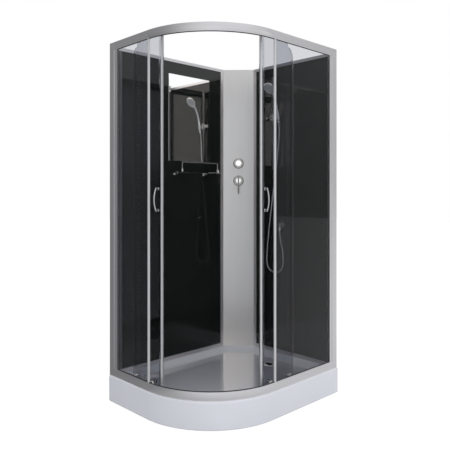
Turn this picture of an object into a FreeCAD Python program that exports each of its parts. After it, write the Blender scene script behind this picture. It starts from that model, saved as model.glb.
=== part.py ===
import FreeCAD, Part
import math
import os
import Sketcher

# Quadrant shower cabin, 1120 x 888 x 2150 mm, with a low acrylic tray, two curved sliding doors,
# two fixed panes, two dark glass walls and a bevelled corner column.
# Origin: bottom centre of the tray. X is the long side, Y the short side, +Z up.
# The walls meet at (+X, +Y); the rounded front corner is at (-X, -Y).

Vector = FreeCAD.Vector
Rotation = FreeCAD.Rotation
Placement = FreeCAD.Placement
UP = Vector(0, 0, 1)

os.makedirs("parts", exist_ok=True)
doc = FreeCAD.newDocument("ShowerCabin")
sheet = doc.addObject("Spreadsheet::Sheet", "Sizes")
parts = []


# ---------------------------------------------------------------- sizes that follow the sheet

class Size:
    """A number together with the sheet formula that gives it."""

    def __init__(self, value, formula):
        self.value = float(value)
        self.formula = formula

    def join(self, other, sign, value):
        return Size(value, "(%s %s %s)" % (self.formula, sign, as_size(other).formula))

    def __add__(self, other):
        return self.join(other, "+", self.value + as_size(other).value)

    def __radd__(self, other):
        return as_size(other) + self

    def __sub__(self, other):
        return self.join(other, "-", self.value - as_size(other).value)

    def __rsub__(self, other):
        return as_size(other) - self

    def __mul__(self, other):
        return self.join(other, "*", self.value * as_size(other).value)

    def __rmul__(self, other):
        return as_size(other) * self

    def __truediv__(self, other):
        return self.join(other, "/", self.value / as_size(other).value)

    def __neg__(self):
        return Size(-self.value, "(0 - %s)" % self.formula)


def as_size(thing):
    return thing if isinstance(thing, Size) else Size(thing, "(%.9g)" % thing)


def number(thing):
    return as_size(thing).value


def size(name, value, meaning):
    """Put one driving size in the next row of the sheet and return it."""
    row = size.rows = getattr(size, "rows", 0) + 1
    sheet.set("A%d" % row, name)
    sheet.set("B%d" % row, str(value))
    sheet.set("C%d" % row, meaning)
    sheet.setAlias("B%d" % row, name)
    return Size(value, "Sizes." + name)


# overall
tray_length = size("tray_length", 1120, "tray, long side")
tray_width = size("tray_width", 888, "tray, short side")
corner_radius = size("corner_radius", 492, "plan radius of the rounded front corner")
tray_height = size("tray_height", 152, "top of the tray's rim")
cabin_height = size("cabin_height", 2150, "top of the upper rail")
# tray
shell_wall = size("shell_wall", 5, "thickness of the acrylic shell")
rim_width = size("rim_width", 40, "flat rim, from the edge to the slope")
floor_inset = size("floor_inset", 94, "edge of the tray to the edge of its floor")
floor_level = size("floor_level", 120, "height of the tray's floor")
edge_round = size("edge_round", 8, "rounding of the tray's top edge")
rear_skirt = size("rear_skirt", 40, "height of the skirt on the two wall sides")
basin_round = size("basin_round", 45, "corner rounding inside the basin")
board_thick = size("board_thick", 12, "stiffening board under the floor")
beam = size("beam", 25, "square tube of the underframe")
beam_wall = size("beam_wall", 2, "wall of that tube")
foot_radius = size("foot_radius", 22, "adjustable foot")
rod_radius = size("rod_radius", 6, "threaded rod of a foot")
row_inset = size("row_inset", 194, "long tubes of the underframe from the tray's edge")
row_near = size("row_near", 130, "ends of the long tubes from the rounded side")
row_far = size("row_far", 55, "ends of the long tubes from the short wall's side")
column_near = size("column_near", 230, "first cross tube from the rounded side")
column_far = size("column_far", 80, "last cross tube from the short wall's side")
cross_middle = size("cross_middle", 40, "middle cross tube, along X")
cross_front = size("cross_front", 144, "ends of the cross tubes from the front edge")
cross_back = size("cross_back", 64, "ends of the cross tubes from the back edge")
waste_side = size("waste_side", 203, "waste hole from the tray's edge, along X")
waste_y = size("waste_y", -36, "waste hole from the middle, along Y")
waste_throat = size("waste_throat", 22, "inner radius of the waste")
waste_flange = size("waste_flange", 36, "radius of the waste's flange")
waste_pipe = size("waste_pipe", 20, "outer radius of the outlet pipe")
spigot_level = size("spigot_level", 50, "middle of the outlet pipe above the floor")
spigot_length = size("spigot_length", 52, "free length of the outlet pipe")
# frame
frame_inset = size("frame_inset", 9, "outer face of the frame from the tray's edge")
rail_height = size("rail_height", 47, "height of the rails")
rail_depth = size("rail_depth", 36, "depth of the rails")
rail_wall = size("rail_wall", 2, "wall of the rail extrusion")
pocket_width = size("pocket_width", 8, "glass pocket in the rail")
ledge_depth = size("ledge_depth", 29, "closed side of the rail to its roller ledge")
post_width = size("post_width", 46, "face of a wall post")
post_gap = size("post_gap", 5, "back of a wall post to the tray's edge")
glass_thick = size("glass_thick", 4, "fixed panes and door panes")
slip = size("slip", 0.3, "clearance between sliding or nested profiles")
adapter_left = size("adapter_left", 33, "visible width of the left glass profile")
adapter_right = size("adapter_right", 24, "visible width of the right glass profile")
adapter_wall = size("adapter_wall", 1.5, "wall of the glass profile")
jamb_width = size("jamb_width", 24, "profile on the free edge of a fixed pane")
jamb_left_shift = size("jamb_left_shift", -14, "left jamb's front edge from the corner's centre, Y")
jamb_right_shift = size("jamb_right_shift", 17, "right jamb's front edge from the corner's centre, X")
# walls and column
wall_inset = size("wall_inset", 30, "inner face of the wall glass from the tray's edge")
wall_glass = size("wall_glass", 5, "thickness of the wall glass")
wall_drop = size("wall_drop", 18, "top of the walls below the top of the upper rail")
trim_proud = size("trim_proud", 4, "trim in front of the glass")
trim_depth = size("trim_depth", 26, "depth of the wall trims")
bottom_trim = size("bottom_trim", 24, "height of the lower wall trim")
top_trim = size("top_trim", 20, "height of the upper wall trim")
groove = size("groove", 10, "depth of the glass groove in a trim")
column_leg = size("column_leg", 157.5, "bevel of the column along each wall")
column_trim = size("column_trim", 25, "width of the trims beside the column")
panel_sheet = size("panel_sheet", 3, "sheet of the column panel")
panel_flange = size("panel_flange", 17, "folded edge of the column panel")
# mirror and shelf
fitting_gap = size("fitting_gap", 290.5, "middle of the mirror and shelf from the column's trim")
mirror_width = size("mirror_width", 360, "mirror")
mirror_low = size("mirror_low", 1459, "lower edge of the mirror")
mirror_high = size("mirror_high", 2035, "upper edge of the mirror")
mirror_thick = size("mirror_thick", 4, "thickness of the mirror")
shelf_level = size("shelf_level", 1386, "top of the shelf glass")
shelf_reach = size("shelf_reach", 125, "depth of the shelf")
shelf_glass_thick = size("shelf_glass_thick", 6, "thickness of the shelf glass")
shelf_clamp = size("shelf_clamp", 128, "wall clamps from the shelf's middle")
shelf_post = size("shelf_post", 155, "guard rail posts from the shelf's middle")
guard_height = size("guard_height", 62, "guard rail above the shelf")
guard_radius = size("guard_radius", 3, "guard rail wire")
# doors
door_line = size("door_line", 60, "middle of the door glass from the tray's edge")
wheel_line = size("wheel_line", 33, "middle of the door rollers from the tray's edge")
door_foot = size("door_foot", 14, "lower edge of the door glass above the tray's rim")
door_head = size("door_head", 4, "upper edge of the door glass below the top of the upper rail")
door_near = size("door_near", 2.2, "door glass starts, degrees from the meeting line")
door_far = size("door_far", 47.1, "door glass ends, degrees from the meeting line")
door_round = size("door_round", 50, "rounded upper corner of the door glass")
edge_width = size("edge_width", 24, "face of the door's edge profile")
edge_depth = size("edge_depth", 12, "depth of the door's edge profile")
edge_slot = size("edge_slot", 12, "glass in the edge profile")
magnet_thick = size("magnet_thick", 3.9, "magnetic seal in front of the edge profile")
roller_near = size("roller_near", 8, "leading roller, degrees from the meeting line")
roller_far = size("roller_far", 30, "trailing roller, degrees from the meeting line")
top_wheel = size("top_wheel", 12, "radius of the upper rollers")
bottom_wheel = size("bottom_wheel", 10, "radius of the lower rollers")
wheel_width = size("wheel_width", 5, "width of a roller")
axle_radius = size("axle_radius", 4, "roller axle")
bore_clearance = size("bore_clearance", 0.05, "radial running clearance")
left_turn = size("left_turn", 27.7, "opening turn of the left door")
left_pivot_x = size("left_pivot_x", 149, "pivot of the left door's travel from the corner's centre, X")
left_pivot_y = size("left_pivot_y", 46, "pivot of the left door's travel from the corner's centre, Y")
right_turn = size("right_turn", 28.4, "opening turn of the right door")
right_pivot_x = size("right_pivot_x", 54, "pivot of the right door's travel from the corner's centre, X")
right_pivot_y = size("right_pivot_y", 176, "pivot of the right door's travel from the corner's centre, Y")
handle_angle = size("handle_angle", 5.1, "handle, degrees from the meeting line")
handle_level = size("handle_level", 1211.5, "middle of the handles")
handle_pitch = size("handle_pitch", 120, "distance between a handle's two studs")
handle_span = size("handle_span", 136, "length of the bow")
handle_stand = size("handle_stand", 20, "bow's ends in front of the glass")
handle_rise = size("handle_rise", 24, "rise of the bow")
handle_radius = size("handle_radius", 5.5, "radius of the bow's bar")
stud_hole_radius = size("stud_hole_radius", 4.5, "hole in the glass for a handle's stud")
# controls
mixer_level = size("mixer_level", 1336, "height of the mixer")
diverter_level = size("diverter_level", 1460, "height of the diverter")
plate_radius = size("plate_radius", 37, "cover plates")
plate_thick = size("plate_thick", 6, "cover plates")
hub_radius = size("hub_radius", 19, "ball of the mixer lever")
lever_length = size("lever_length", 100, "lever below the ball's centre")
lever_heel = size("lever_heel", 17, "lever blade above the ball")
lever_width = size("lever_width", 10, "thickness of the lever blade")
spindle_radius = size("spindle_radius", 5, "mixer spindle")
pin_radius = size("pin_radius", 2.5, "cross pin of the lever")
knob_radius = size("knob_radius", 23, "diverter knob")
knob_depth = size("knob_depth", 26, "depth of the diverter knob")
valve_radius = size("valve_radius", 22, "valve bodies")
valve_depth = size("valve_depth", 52, "depth of the valve bodies behind the panel")
casting_line = size("casting_line", 30, "middle of the casting's pipes behind the panel")
valve_outlet = size("valve_outlet", 35, "top of the casting above the diverter")
inlet_reach = size("inlet_reach", 36, "water inlets from the valve's middle")
inlet_length = size("inlet_length", 34, "water inlets behind the middle of the casting")
pipe_radius = size("pipe_radius", 5, "copper pipe")
inlet_radius = size("inlet_radius", 9.3, "bore of the water inlets")
inlet_depth = size("inlet_depth", 14, "depth of that bore")
# hand shower
riser_stand = size("riser_stand", 25, "middle of the riser bar from the short wall")
riser_y = size("riser_y", 55, "riser bar, Y")
riser_radius = size("riser_radius", 10, "riser bar")
riser_low = size("riser_low", 1415, "lower end of the riser")
riser_high = size("riser_high", 2045, "upper end of the riser")
slider_level = size("slider_level", 1765, "slider at rest")
slider_height = size("slider_height", 44, "slider body")
holder_reach = size("holder_reach", 47, "handset cone from the riser bar, along Y")
holder_tilt = size("holder_tilt", 10, "lean of the handset")
head_lean = size("head_lean", 58, "lean of the spray head on its handle")
head_forward = size("head_forward", 62, "middle of the spray face in front of the handle's foot")
head_rise = size("head_rise", 196, "middle of the spray face above the holder")
head_radius = size("head_radius", 43, "spray head")
head_depth = size("head_depth", 21, "depth of the spray head")
spray_radius = size("spray_radius", 37, "spray plate")
spray_thick = size("spray_thick", 2, "thickness of the spray plate")
outlet_y = size("outlet_y", -2, "wall elbow, Y")
outlet_level = size("outlet_level", 1034, "wall elbow, height")
hose_radius = size("hose_radius", 6.5, "shower hose")

sheet.recompute()

half_x = tray_length / 2
half_y = tray_width / 2
arc_x = corner_radius - half_x
arc_y = corner_radius - half_y
long_face = half_y - wall_inset
short_face = half_x - wall_inset
rail_low = tray_height + rail_height
rail_high = cabin_height - rail_height
wall_top = cabin_height - wall_drop
column_x = short_face - column_leg
column_y = long_face - column_leg
fitting_x = column_x - column_trim - fitting_gap
waste_x = half_x - waste_side
riser_x = short_face - riser_stand
holder_y = riser_y - holder_reach
jamb_left = arc_y + jamb_left_shift
jamb_right = arc_x + jamb_right_shift
door_bottom = tray_height + door_foot
door_top = cabin_height - door_head
door_radius = corner_radius - door_line
wheel_radius_line = corner_radius - wheel_line
MEETING = 225.0


# ---------------------------------------------------------------- building blocks

def bind(thing, name, wanted):
    """Set a property from a size and keep it tied to the sheet."""
    wanted = as_size(wanted)
    if "Placement" not in name and "AttachmentOffset" not in name:
        setattr(thing, name, wanted.value)
    thing.setExpression(name, wanted.formula)


def keep(thing, label):
    """Name a finished sub-part, which is written to a file of that name."""
    thing.Label = label
    parts.append(thing)
    return thing


def body(name):
    return doc.addObject("PartDesign::Body", name)


def sketch_on(owner, role, height=0):
    """A sketch on one of the body's own planes, raised along its normal."""
    drawing = owner.newObject("Sketcher::SketchObject", "Sketch")
    base = [item for item in owner.Origin.OriginFeatures if item.Role == role][0]
    drawing.AttachmentSupport = [(base, "")]
    drawing.MapMode = "FlatFace"
    bind(drawing, "AttachmentOffset.Base.z", height)
    return drawing


def fix_corner(drawing, edge, x, y=None):
    """Tie the start of an edge to its coordinates."""
    for kind, value in (("DistanceX", x), ("DistanceY", y)):
        if value is not None:
            value = as_size(value)
            index = drawing.addConstraint(Sketcher.Constraint(kind, -1, 1, edge, 1, value.value))
            drawing.setExpression("Constraints[%d]" % index, value.formula)


def polygon(drawing, corners):
    """A closed polygon through corners given as pairs of sizes."""
    first = drawing.GeometryCount
    total = len(corners)
    for k in range(total):
        start = Vector(number(corners[k][0]), number(corners[k][1]), 0)
        end = Vector(number(corners[(k + 1) % total][0]), number(corners[(k + 1) % total][1]), 0)
        drawing.addGeometry(Part.LineSegment(start, end))
    for k in range(total):
        drawing.addConstraint(Sketcher.Constraint("Coincident", first + k, 2, first + (k + 1) % total, 1))
        fix_corner(drawing, first + k, *corners[k])
    return drawing


def circle(drawing, x, y, radius):
    index = drawing.addGeometry(Part.Circle(Vector(number(x), number(y), 0), UP, number(radius)))
    for kind, value in (("DistanceX", as_size(x)), ("DistanceY", as_size(y))):
        made = drawing.addConstraint(Sketcher.Constraint(kind, -1, 1, index, 3, value.value))
        drawing.setExpression("Constraints[%d]" % made, value.formula)
    made = drawing.addConstraint(Sketcher.Constraint("Radius", index, number(radius)))
    drawing.setExpression("Constraints[%d]" % made, as_size(radius).formula)


def pad(owner, drawing, length, backwards=False):
    feature = owner.newObject("PartDesign::Pad", "Pad")
    feature.Profile = drawing
    bind(feature, "Length", length)
    feature.Reversed = backwards
    return feature


def pocket(owner, drawing, length, upwards=False):
    """Cut down from the sketch, or up from it, and make sure that it removed something."""
    doc.recompute()
    before = owner.Shape.Volume
    feature = owner.newObject("PartDesign::Pocket", "Pocket")
    feature.Profile = drawing
    bind(feature, "Length", length)
    feature.Reversed = upwards
    doc.recompute()
    if owner.Shape.Volume > before - 1:
        raise ValueError("a pocket in %s cuts nothing" % owner.Name)
    return feature


def fillet(owner, radius, wanted):
    """Round the edges of the tip for which wanted(edge) is true."""
    doc.recompute()
    solid = owner.Tip
    edges = ["Edge%d" % (k + 1) for k, edge in enumerate(solid.Shape.Edges) if wanted(edge)]
    feature = owner.newObject("PartDesign::Fillet", "Fillet")
    feature.Base = (solid, edges)
    bind(feature, "Radius", radius)
    return feature


def upright(edge):
    box = edge.BoundBox
    return box.ZLength > 1 and box.XLength < 0.01 and box.YLength < 0.01


def extrusion(name, corners, low, high):
    """A vertical bar with a polygonal section."""
    owner = body(name)
    pad(owner, polygon(sketch_on(owner, "XY_Plane", low), corners), as_size(high) - low)
    return owner


def turned(name, outline, angle=360):
    """A body turned about Z from an outline of radii and heights."""
    owner = body(name)
    feature_sketch = polygon(sketch_on(owner, "XZ_Plane"), outline)
    feature = owner.newObject("PartDesign::Revolution", "Revolution")
    feature.Profile = feature_sketch
    feature.ReferenceAxis = (feature_sketch, ["V_Axis"])
    bind(feature, "Angle", angle)
    return owner


def block(name, low, high):
    """A box between two corners."""
    made = doc.addObject("Part::Box", name)
    for prop, a, b in zip(("Length", "Width", "Height"), low, high):
        bind(made, prop, as_size(b) - a)
    for axis, a in zip("xyz", low):
        bind(made, "Placement.Base." + axis, a)
    return made


def rod(name, start, direction, radius, length):
    """A cylinder from a point along a direction."""
    made = doc.addObject("Part::Cylinder", name)
    bind(made, "Radius", radius)
    bind(made, "Height", length)
    made.Placement = Placement(Vector(0, 0, 0), Rotation(UP, direction))
    for axis, value in zip("xyz", start):
        bind(made, "Placement.Base." + axis, value)
    return made


def joined(name, pieces):
    made = doc.addObject("Part::MultiFuse", name)
    made.Shapes = pieces
    made.Refine = True
    return made


def group(name, pieces):
    made = doc.addObject("Part::Compound", name)
    made.Links = pieces
    return made


def cut(name, base, tools):
    made = doc.addObject("Part::Cut", name)
    made.Base = base
    made.Tool = tools[0] if len(tools) == 1 else joined(name + "Tools", tools)
    return made


def at(x, y, z, turn=0, axis=UP):
    return Placement(Vector(number(x), number(y), number(z)), Rotation(axis, number(turn)))


# ---------------------------------------------------------------- tray

def plan(drawing, inset, corner_cut=None):
    """The tray's plan drawn in from its edge; corner_cut is x + y on the bevel before the column."""
    right = half_x - inset
    back = half_y - inset
    points = [(-right, back), (-right, arc_y), (arc_x, -back), (right, -back)]
    if corner_cut is None:
        points.append((right, back))
    else:
        points += [(right, corner_cut - right), (corner_cut - back, back)]
    total = len(points)
    centre = Vector(arc_x.value, arc_y.value, 0)
    radius = corner_radius.value - number(inset)
    for k in range(total):
        start = Vector(points[k][0].value, points[k][1].value, 0)
        end = Vector(points[(k + 1) % total][0].value, points[(k + 1) % total][1].value, 0)
        if k == 1:
            drawing.addGeometry(Part.ArcOfCircle(Part.Circle(centre, UP, radius), math.pi, 1.5 * math.pi))
        else:
            drawing.addGeometry(Part.LineSegment(start, end))
    for k in range(total):
        drawing.addConstraint(Sketcher.Constraint("Coincident", k, 2, (k + 1) % total, 1))
        if k == 2:
            fix_corner(drawing, k, points[k][0])
        else:
            fix_corner(drawing, k, *points[k])
    for kind, value in (("DistanceX", arc_x), ("DistanceY", arc_y)):
        index = drawing.addConstraint(Sketcher.Constraint(kind, -1, 1, 1, 3, value.value))
        drawing.setExpression("Constraints[%d]" % index, value.formula)
    return drawing


def bevel(inset):
    """x + y on the basin's bevel, which runs parallel to the column panel."""
    margin = inset - rim_width + 8
    return short_face + long_face - column_leg - margin * math.sqrt(2)


def loft(owner, kind, inset_low, z_low, inset_high, z_high):
    lower = plan(sketch_on(owner, "XY_Plane", z_low), inset_low, bevel(inset_low))
    upper = plan(sketch_on(owner, "XY_Plane", z_high), inset_high, bevel(inset_high))
    feature = owner.newObject(kind, "Basin")
    feature.Profile = upper
    feature.Sections = [lower]
    feature.Ruled = True
    return feature


def make_tray_shell():
    tray = body("TrayShell")
    pad(tray, plan(sketch_on(tray, "XY_Plane"), 0), tray_height)

    def square_corner(edge):
        beside_arc = edge.BoundBox.XMax < arc_x.value + 1 and edge.BoundBox.YMax < arc_y.value + 1
        return upright(edge) and not beside_arc

    fillet(tray, 12, square_corner)
    under = plan(sketch_on(tray, "XY_Plane"), shell_wall)
    pocket(tray, under, tray_height - shell_wall, upwards=True)
    slant = shell_wall * 1.2
    loft(tray, "PartDesign::AdditiveLoft", floor_inset - slant, floor_level - shell_wall,
         rim_width - slant, tray_height - shell_wall / 2)
    doc.recompute()
    before = tray.Shape.Volume
    loft(tray, "PartDesign::SubtractiveLoft", floor_inset, floor_level, rim_width, tray_height)
    doc.recompute()
    if tray.Shape.Volume > before - 1000:
        raise ValueError("the basin was not cut")
    beyond = 5
    corner = [(half_x - 2 * shell_wall, 80 - half_y), (half_x + beyond, 80 - half_y),
              (half_x + beyond, half_y + beyond), (80 - half_x, half_y + beyond),
              (80 - half_x, half_y - 2 * shell_wall), (half_x - 2 * shell_wall, half_y - 2 * shell_wall)]
    skirts = polygon(sketch_on(tray, "XY_Plane"), corner)
    pocket(tray, skirts, tray_height - rear_skirt, upwards=True)
    hole = sketch_on(tray, "XY_Plane", floor_level)
    circle(hole, waste_x, waste_y, waste_throat + 6)
    pocket(tray, hole, 2 * shell_wall)

    def outer_top(edge):
        box = edge.BoundBox
        on_top = abs(box.ZMin - tray_height.value) < 0.01 and box.ZLength < 0.01
        far = max(abs(box.XMin), abs(box.XMax)) > half_x.value - 13 or \
            max(abs(box.YMin), abs(box.YMax)) > half_y.value - 13
        return on_top and far

    fillet(tray, edge_round, outer_top)
    return keep(tray, "tray_shell")


def make_tray_support():
    top = floor_level - shell_wall
    low = top - board_thick
    board = body("Board")
    drawing = plan(sketch_on(board, "XY_Plane", low), floor_inset + 30, bevel(floor_inset + 30))
    pad(board, drawing, board_thick)
    hole = sketch_on(board, "XY_Plane", top)
    circle(hole, waste_x, waste_y, 62)
    pocket(board, hole, board_thick)
    keep(board, "tray_base_board")

    tube_rows = (row_inset - half_y, half_y - row_inset)
    tube_columns = (column_near - half_x, cross_middle, half_x - column_far)
    row_start, row_end = row_near - half_x, half_x - row_far
    cross_start, cross_end = cross_front - half_y, half_y - cross_back
    outer, inner = [], []
    for y in tube_rows:
        outer.append(block("Tube", (row_start, y - beam / 2, low - beam), (row_end, y + beam / 2, low)))
        inner.append(block("Hollow", (row_start - 1, y - beam / 2 + beam_wall, low - beam + beam_wall),
                           (row_end + 1, y + beam / 2 - beam_wall, low - beam_wall)))
    for x in tube_columns:
        outer.append(block("Tube", (x - beam / 2, cross_start, low - beam), (x + beam / 2, cross_end, low)))
        inner.append(block("Hollow", (x - beam / 2 + beam_wall, cross_start - 1, low - beam + beam_wall),
                           (x + beam / 2 - beam_wall, cross_end + 1, low - beam_wall)))
    keep(cut("Underframe", joined("Tubes", outer), [joined("Hollows", inner)]), "tray_underframe")

    frame_low = low - beam
    feet = []
    for x in tube_columns:
        for y in tube_rows:
            foot = turned("Foot", [(0, 0), (foot_radius, 0), (rod_radius + 3, 12), (rod_radius, 12),
                                   (rod_radius, frame_low - 9), (rod_radius + 5, frame_low - 9),
                                   (rod_radius + 5, frame_low), (0, frame_low)])
            foot.Placement = at(x, y, 0)
            feet.append(foot)
    keep(group("Feet", feet), "tray_feet")


def make_waste():
    cup = waste_throat + 26
    flange_top = floor_level + 3
    trap = turned("Trap", [(waste_throat, flange_top), (waste_throat, 90), (cup - 4, 90), (cup - 4, 30),
                           (0, 30), (0, 25), (cup, 25), (cup, 94), (waste_throat + 5, 94),
                           (waste_throat + 5, floor_level), (waste_flange, floor_level),
                           (waste_flange - 2, flange_top)])
    trap.Placement = at(waste_x, waste_y, 0)
    outwards = Vector(0, 1, 0)
    side = waste_y + cup
    collar = rod("SpigotCollar", (waste_x, side - 6, spigot_level), outwards, waste_pipe + 3, 8)
    spigot = rod("Spigot", (waste_x, side + 2, spigot_level), outwards, waste_pipe, spigot_length)
    bore = rod("SpigotBore", (waste_x, side - 12, spigot_level), outwards, waste_pipe - 2,
               spigot_length + 18)
    keep(cut("WasteTrap", joined("TrapAndSpigot", [trap, collar, spigot]), [bore]), "waste_trap")

    ring = waste_throat - 0.5
    cover = turned("Cover", [(0, flange_top), (ring - 2, flange_top), (ring - 2, flange_top - 14),
                             (ring, flange_top - 14), (ring, flange_top), (30, flange_top),
                             (30, flange_top + 2), (24, flange_top + 4.5), (12, flange_top + 6),
                             (0, flange_top + 6.5)])
    cover.Placement = at(waste_x, waste_y, 0)
    keep(cover, "waste_cover")


# ---------------------------------------------------------------- fixed frame

def rail_section(edge, side):
    """Rail section: outer wall, glass pocket and roller ledge; side is +1 upwards from the closed edge."""
    wall = rail_wall
    rib = wall + pocket_width
    outline = [(0, rail_height), (0, 0), (rail_depth, 0), (rail_depth, wall), (rib + wall, wall),
               (rib + wall, ledge_depth), (rail_depth, ledge_depth), (rail_depth, ledge_depth + wall),
               (rib, ledge_depth + wall), (rib, wall), (wall, wall), (wall, rail_height)]
    return [(frame_inset - half_x + x, edge + side * as_size(y)) for x, y in outline]


def make_rail(name, edge, side, end_x):
    """One rail, swept along the two straight sides and the rounded corner."""
    rail = body(name)
    start_y = half_y - post_gap - post_width
    section = sketch_on(rail, "XZ_Plane", -start_y)
    polygon(section, rail_section(edge, side))
    path = sketch_on(rail, "XY_Plane", edge)
    line_x = frame_inset - half_x
    line_y = frame_inset - half_y
    radius = corner_radius.value - frame_inset.value
    centre = Vector(arc_x.value, arc_y.value, 0)
    left_end = Vector(line_x.value, start_y.value, 0)
    left_tangent = Vector(line_x.value, arc_y.value, 0)
    right_tangent = Vector(arc_x.value, line_y.value, 0)
    right_end = Vector(end_x.value, line_y.value, 0)
    path.addGeometry(Part.LineSegment(left_end, left_tangent))
    path.addGeometry(Part.ArcOfCircle(Part.Circle(centre, UP, radius), math.pi, 1.5 * math.pi))
    path.addGeometry(Part.LineSegment(right_tangent, right_end))
    path.addConstraint(Sketcher.Constraint("Coincident", 0, 2, 1, 1))
    path.addConstraint(Sketcher.Constraint("Coincident", 1, 2, 2, 1))
    fix_corner(path, 0, line_x, start_y)
    fix_corner(path, 1, line_x, arc_y)
    fix_corner(path, 2, arc_x)
    for kind, geometry, point, value in (("DistanceX", 1, 3, arc_x), ("DistanceY", 1, 3, arc_y),
                                         ("DistanceX", 2, 2, end_x), ("DistanceY", 2, 2, line_y)):
        index = path.addConstraint(Sketcher.Constraint(kind, -1, 1, geometry, point, value.value))
        path.setExpression("Constraints[%d]" % index, value.formula)
    feature = rail.newObject("PartDesign::AdditivePipe", "Sweep")
    feature.Profile = section
    feature.Spine = (path, ["Edge1", "Edge2", "Edge3"])
    feature.Transition = 1
    return rail


def make_rails():
    keep(make_rail("TopRail", cabin_height, -1, half_x - frame_inset - 2), "top_rail")
    keep(make_rail("BottomRail", tray_height, 1, half_x - frame_inset - 2 - post_width), "bottom_rail")


def post_outline(depth):
    """U section: face width along the first axis, depth along the second, open at the front."""
    wall = rail_wall
    return [(0, 0), (post_width, 0), (post_width, depth), (0, depth), (0, depth - wall),
            (post_width - wall, depth - wall), (post_width - wall, wall), (0, wall)]


def make_posts():
    left_y = half_y - post_gap - post_width
    outline = [(frame_inset - half_x + v, left_y + u) for u, v in post_outline(rail_depth)]
    keep(extrusion("LeftPost", outline, tray_height, cabin_height), "left_wall_post")
    right_x = half_x - frame_inset - 2 - post_width
    outline = [(right_x + u, frame_inset - half_y + v) for u, v in post_outline(rail_depth)]
    keep(extrusion("RightPost", outline, tray_height, rail_high), "right_wall_post")


def adapter_outline(seen, nested=14, grip=18):
    """Glass profile: u runs from its visible edge into the post, v inwards from the frame's face."""
    low = rail_wall + slip
    high = rail_wall + pocket_width - slip
    wall = adapter_wall
    end = as_size(seen) + nested
    return [(0, low), (end, low), (end, low + wall), (as_size(grip) + wall, low + wall),
            (as_size(grip) + wall, high - wall), (end, high - wall), (end, high), (0, high),
            (0, high - wall), (grip, high - wall), (grip, low + wall), (0, low + wall)]


def make_fixed_glazing():
    glass_low = tray_height + rail_wall + 2
    glass_high = cabin_height - rail_wall - 2
    near = frame_inset + rail_wall + pocket_width / 2 - glass_thick / 2
    far = near + glass_thick
    left_y = half_y - post_gap - post_width - adapter_left
    outline = [(frame_inset - half_x + v, left_y + u) for u, v in adapter_outline(adapter_left)]
    keep(extrusion("LeftAdapter", outline, glass_low, glass_high), "left_glass_profile")
    right_x = half_x - frame_inset - 2 - post_width - adapter_right
    outline = [(right_x + u, frame_inset - half_y + v) for u, v in adapter_outline(adapter_right)]
    keep(extrusion("RightAdapter", outline, glass_low, rail_high), "right_glass_profile")

    jamb_grip = 10
    keep(block("LeftPane", (near - half_x, jamb_left + jamb_width - jamb_grip, glass_low),
               (far - half_x, left_y + 17, glass_high)), "left_fixed_glass")
    keep(block("RightPane", (jamb_right + jamb_width - jamb_grip, near - half_y, glass_low),
               (right_x + 17, far - half_y, glass_high)), "right_fixed_glass")

    low = frame_inset + rail_wall + slip
    high = frame_inset + rail_wall + pocket_width - slip
    wall = adapter_wall
    slot = jamb_width - jamb_grip - 1
    jamb = [(0, low), (jamb_width, low), (jamb_width, low + wall), (slot, low + wall), (slot, high - wall),
            (jamb_width, high - wall), (jamb_width, high), (0, high)]
    keep(extrusion("LeftJamb", [(v - half_x, jamb_left + u) for u, v in jamb], rail_low, rail_high),
         "left_jamb_profile")
    keep(extrusion("RightJamb", [(jamb_right + u, v - half_y) for u, v in jamb], rail_low, rail_high),
         "right_jamb_profile")


# ---------------------------------------------------------------- walls and column

def trim_bar(name, along, face, start, end, low, high, slot_up):
    """A horizontal wall trim with a groove for the glass, along X or along Y."""
    front = face - trim_proud
    back = front + trim_depth
    groove_front = face - 0.3
    groove_back = face + wall_glass + 0.3
    slot_low = high - groove if slot_up else low
    slot_high = high if slot_up else low + groove
    if along == "x":
        bar = block(name, (start, front, low), (end, back, high))
        slot = block(name + "Slot", (start - 1, groove_front, slot_low), (end + 1, groove_back, slot_high))
    else:
        bar = block(name, (front, start, low), (back, end, high))
        slot = block(name + "Slot", (groove_front, start - 1, slot_low), (groove_back, end + 1, slot_high))
    return cut(name + "Bar", bar, [slot])


def make_walls():
    glass_low = tray_height + bottom_trim - groove + 1
    glass_high = wall_top - top_trim + groove - 1
    long_start = frame_inset - half_x + rail_depth
    long_end = column_x - column_trim
    short_start = frame_inset - half_y + rail_depth
    short_end = column_y - column_trim
    long_glass = block("LongGlass", (long_start + 1, long_face, glass_low),
                       (long_end + groove - 1, long_face + wall_glass, glass_high))
    keep(long_glass, "long_wall_glass")
    short_glass = block("ShortGlass", (short_face, short_start + 1, glass_low),
                        (short_face + wall_glass, short_end + groove - 1, glass_high))
    tail_hole = rod("TailHole", (short_face - 5, outlet_y, outlet_level), Vector(1, 0, 0), 11, 20)
    keep(cut("ShortPane", short_glass, [tail_hole]), "short_wall_glass")

    bottom = tray_height + bottom_trim
    top = wall_top - top_trim
    bars = [trim_bar("LongLow", "x", long_face, long_start, long_end, tray_height, bottom, True),
            trim_bar("LongHigh", "x", long_face, long_start, long_end, top, wall_top, False),
            trim_bar("ShortLow", "y", short_face, short_start, short_end, tray_height, bottom, True),
            trim_bar("ShortHigh", "y", short_face, short_start, short_end, top, wall_top, False)]
    keep(group("WallTrims", bars), "wall_trims")


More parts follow.
